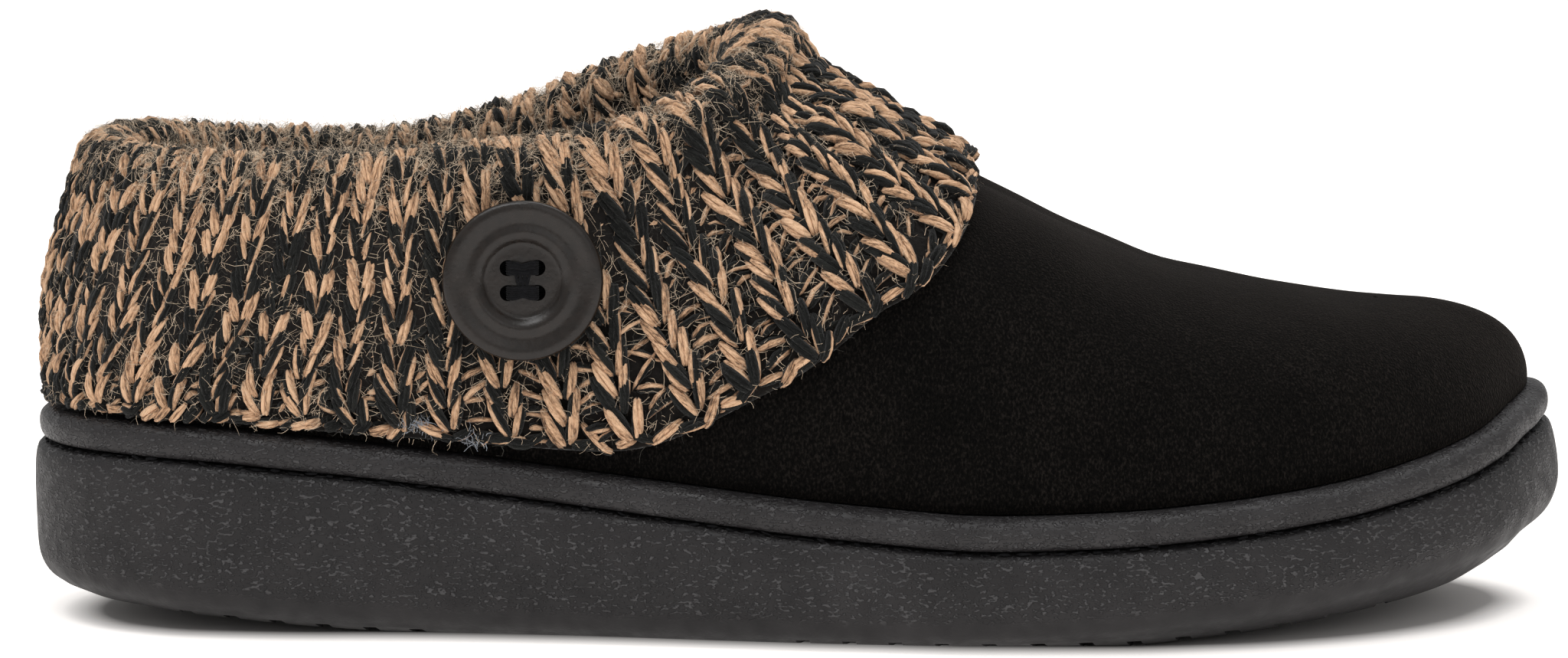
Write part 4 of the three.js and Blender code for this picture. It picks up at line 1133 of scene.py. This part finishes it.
def make_fuzz(name, material, wale, row, width, reach=1.0):
    """Loose fibres that curl over the knit."""
    count = len(wale)
    normal = unit(on_knit(knit_normal, wale, row))
    start = on_knit(knit_grid, wale, row) + normal * rng.uniform(-1.6, -0.2, count)[:, None]
    flat = unit(np.cross(normal, unit(rng.normal(0, 1, (count, 3)))))
    other = np.cross(normal, flat)
    steps = 4
    long = rng.gamma(4.0, 1.0, count).clip(1.5, 8.0) * reach
    long *= lerp(1, 0.4, smooth(row, ROWS_OUT - 3, ROWS_OUT))
    bend = rng.normal(0, 0.42, count) + rng.choice([-0.25, 0.25], count)
    s = (np.arange(steps) / (steps - 1))[None] * long[:, None]
    heading = bend[:, None] * s + rng.normal(0, 0.25, (count, steps))
    climb = rng.normal(0.3, 0.3, (count, 1)).clip(-0.6, 0.9)
    climb = climb * np.cos(s * rng.uniform(0.4, 0.9, (count, 1)))
    ahead = (
        np.cos(heading)[..., None] * flat[:, None] + np.sin(heading)[..., None] * other[:, None]
        + climb[..., None] * normal[:, None])
    gap = (long / (steps - 1))[:, None, None]
    path = start[:, None] + np.cumsum(unit(ahead) * gap, 1) - unit(ahead[:, :1]) * gap
    wide = unit(np.cross(ahead, normal[:, None] + 0.3 * other[:, None]))
    wide = wide * width * rng.uniform(0.6, 1.3, count)[:, None, None]
    wide = wide * (1 - 0.6 * np.arange(steps) / (steps - 1))[None, :, None]
    ribbon = np.stack([path - wide / 2, path + wide / 2], 2)
    quads = repeated(grid_faces(steps, 2), count, 2 * steps)
    shown(add_mesh(f"collar_{name}", ribbon, quads, [material]))


def make_knit():
    make_core()
    make_stitches("knit_lateral", 0, ROWS_OUT, (0, WALES // 2), 7, 5)
    make_stitches("knit_medial", 0, ROWS_OUT, (WALES // 2, WALES), 7, 5)
    make_stitches("knit_inside", -ROWS_IN, 0, (0, WALES), 6, 4)
    make_ladders()
    make_hem()
    make_fuzz("fuzz_light", fuzz_light, *all_over(32000), 0.065)
    make_fuzz("fuzz_dark", fuzz_dark, *all_over(19000), 0.06)
    # Lint caught at the hem behind the button.
    near = rng.choice([0, 0, 0, 1], LINT)
    wale = LINT_WALE + near + rng.normal(0, 0.16, LINT)
    row = ROWS_OUT + 0.5 * near + rng.normal(0, 0.2, LINT)
    make_fuzz("lint", lint, wale, row, 0.14, 0.7)


# Button

HOLE_ALONG, HOLE_UP, HOLE_RADIUS = 2.5, 2.1, 1.35


def node_frame(node):
    """Middle and axes of the CAD button: along, up and out of its face."""
    verts = np.array([v.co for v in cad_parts[node].data.vertices])
    centre = (verts.max(0) + verts.min(0)) / 2
    _, _, axes = np.linalg.svd(verts - verts.mean(0), full_matrices=False)
    out = axes[2] if axes[2][1] < 0 else -axes[2]
    along = unit(np.cross([0, 0, 1], out))
    along = along if along[0] > 0 else -along
    up = np.cross(out, along)
    depth = (verts - centre) @ out
    return centre + out * depth.min(), along, up, out


def make_button():
    base, along, up, out = node_frame("button")
    rows = [
        (0, 0), (7.6, 0), (9.4, 0.3), (11.2, 0.8), (12.4, 1.5), (13.2, 2.4), (13.5, 3.1),
        (13.42, 3.55), (13.1, 3.9), (12.5, 4.12), (11.7, 4.13), (10.7, 3.88), (9.7, 3.7),
        (9.0, 3.82), (8.4, 3.97), (7.9, 3.95), (7.4, 3.72), (6.95, 3.38), (6.55, 3.02),
        (6.28, 2.78), (6, 2.7), (4, 2.7), (0, 2.7),
    ]
    profile = evened(np.array([(r, 0, z) for r, z in rows], float)[None], 90)[0][:, (0, 2)]
    turn = np.arange(96) * 2 * math.pi / 96
    ring = np.stack([
        profile[:, None, 0] * np.cos(turn), profile[:, None, 0] * np.sin(turn),
        profile[:, None, 1] * np.ones(96)], -1)

    def seated(local):
        """Points in the button's own millimetres, moved to where the button is."""
        placed = local[..., :1] * along + local[..., 1:2] * up + local[..., 2:] * out
        return placed + base / MM + ORIGIN

    faces = grid_faces(90, 96, closed_across=True)
    obj = cleaned(add_mesh("button_disc", seated(ring), faces, [plastic]), weld=1e-6)
    holes = np.array([[[
        (hx + HOLE_RADIUS * math.cos(a), hy + HOLE_RADIUS * math.sin(a), z)
        for a in np.arange(24) * 2 * math.pi / 24] for z in (-3, 8)]
        for hx in (-HOLE_ALONG, HOLE_ALONG) for hy in (-HOLE_UP, HOLE_UP)])
    cut_away(obj, cutter_of(seated(holes)), 40)
    shown(obj, "button")

    # Thread: two stacks of strands across the holes, drawn together by wraps round the middle.
    paths = []
    t = np.linspace(-1, 1, 15)
    for row in (-1, 1):
        for strand in range(6):
            off = (strand - 2.5) * 0.38
            x = 2.9 * t
            pinch = np.exp(-((t / 0.3) ** 2))
            y = row * (HOLE_UP - 0.22 * pinch) + off * (1 - 0.2 * pinch)
            z = 3.0 + 0.45 * np.sqrt(np.clip(1 - t**4, 0, 1)) - 9 * np.clip(np.abs(t) - 0.8, 0, 1)
            paths.append(np.stack([x, y, z + 0.08 * rng.normal()], -1))
    for strand in range(6):
        x = (strand - 2.5) * 0.36 + 0.4 * t * (1 if strand % 2 else -1)
        y = 1.5 * t
        z = 3.2 + 0.3 * (1 - t**2) - 2.0 * np.clip(np.abs(t) - 0.8, 0, 1)
        paths.append(np.stack([x, y, z], -1))
    for strand in range(7):
        x = 4.2 * t
        y = (strand - 3) * 1.05 + 0.1 * t
        paths.append(np.stack([x, y, -0.42 + 0.1 * (1 - t**2)], -1))
    paths = np.array(paths)
    radius = np.full(paths.shape[:2], 0.25)
    radius[-7:] = 0.55
    thread = strands("thread_wraps", seated(paths), radius, out, 8, [cotton])
    shown(thread, "button_thread")


make_outsole()
make_midsole()
make_insole()
make_stitch_line()
make_upper()
make_knit()
make_button()


# Floor, light and camera

CAMERA_TILT = 7.82


def make_stage():
    look = Look("paper", (255, 255, 255), 0.9, specular=0.1)
    # The paper's glow stands for light from all round, which doesn't reach under the sole.
    look.feed(look.shader, {
        "Base Color": (0.78, 0.75, 0.73, 1), "Emission Color": (1.0, 0.97, 0.945, 1),
        "Emission Strength": look.maths("MULTIPLY", look.drawn("lit"), 0.6)})
    inner, outer = outline(laps, np.full(STATIONS, 11.5)), outline(laps, np.full(STATIONS, 4.0))
    middle = (inner + np.roll(inner[::-1], 1, 0)) / 2
    round_it = np.pi * (1 + laps)
    far = ORIGIN[:2] + 6000 * np.stack([np.cos(round_it), np.sin(round_it)], -1)
    rings = np.stack([middle, inner, outer, far])
    points = np.concatenate([rings, np.zeros((*rings.shape[:2], 1))], -1)
    faces = grid_faces(4, STATIONS, closed_across=True)
    floor = add_mesh("floor", points, faces, [look.material], False)
    draw(floor.data, "lit", np.repeat(np.array([0, 0, 1, 1]), STATIONS))
    world = bpy.data.worlds.new("studio")
    world.use_nodes = True
    sky = world.node_tree
    height = sky.nodes.new("ShaderNodeSeparateXYZ")
    sky.links.new(sky.nodes.new("ShaderNodeTexCoord").outputs["Generated"], height.inputs[0])
    ramp = sky.nodes.new("ShaderNodeValToRGB")
    ramp.color_ramp.elements[0].color = (0.5, 0.5, 0.5, 1)
    ramp.color_ramp.elements[1].color = (0.85, 0.85, 0.85, 1)
    sky.links.new(height.outputs["Z"], ramp.inputs["Fac"])
    sky.links.new(ramp.outputs["Color"], sky.nodes["Background"].inputs["Color"])
    bpy.context.scene.world = world
    for name, place, aim, size, deep, power in (
        ("key", (-0.35, -0.45, 1.3), (0, 0, 0.04), 1.2, 0.5, 7.2),
        ("top", (0.3, 0.3, 1.3), (0, 0, 0.04), 0.9, 0.9, 5),
        ("fill", (0.5, -1.2, 0.6), (0.02, 0, 0.04), 0.8, 0.8, 1.2),
    ):
        data = bpy.data.lights.new(name, "AREA")
        put(data, shape="ELLIPSE", size=size, size_y=deep, energy=power)
        turned = (Vector(aim) - Vector(place)).to_track_quat("-Z", "Y").to_euler()
        add_object(name, data, location=place, rotation_euler=turned)


def make_camera():
    data = bpy.data.cameras.new("camera")
    put(data, sensor_width=36, lens=146.6, clip_start=0.01, clip_end=50)
    turned = (math.radians(90 - CAMERA_TILT), 0, 0)
    place = (-0.0029, -1.1, 0.2)
    bpy.context.scene.camera = add_object("camera", data, location=place, rotation_euler=turned)


make_stage()
make_camera()
bpy.context.scene.view_settings.view_transform = "Standard"
bpy.context.scene.view_settings.look = "None"
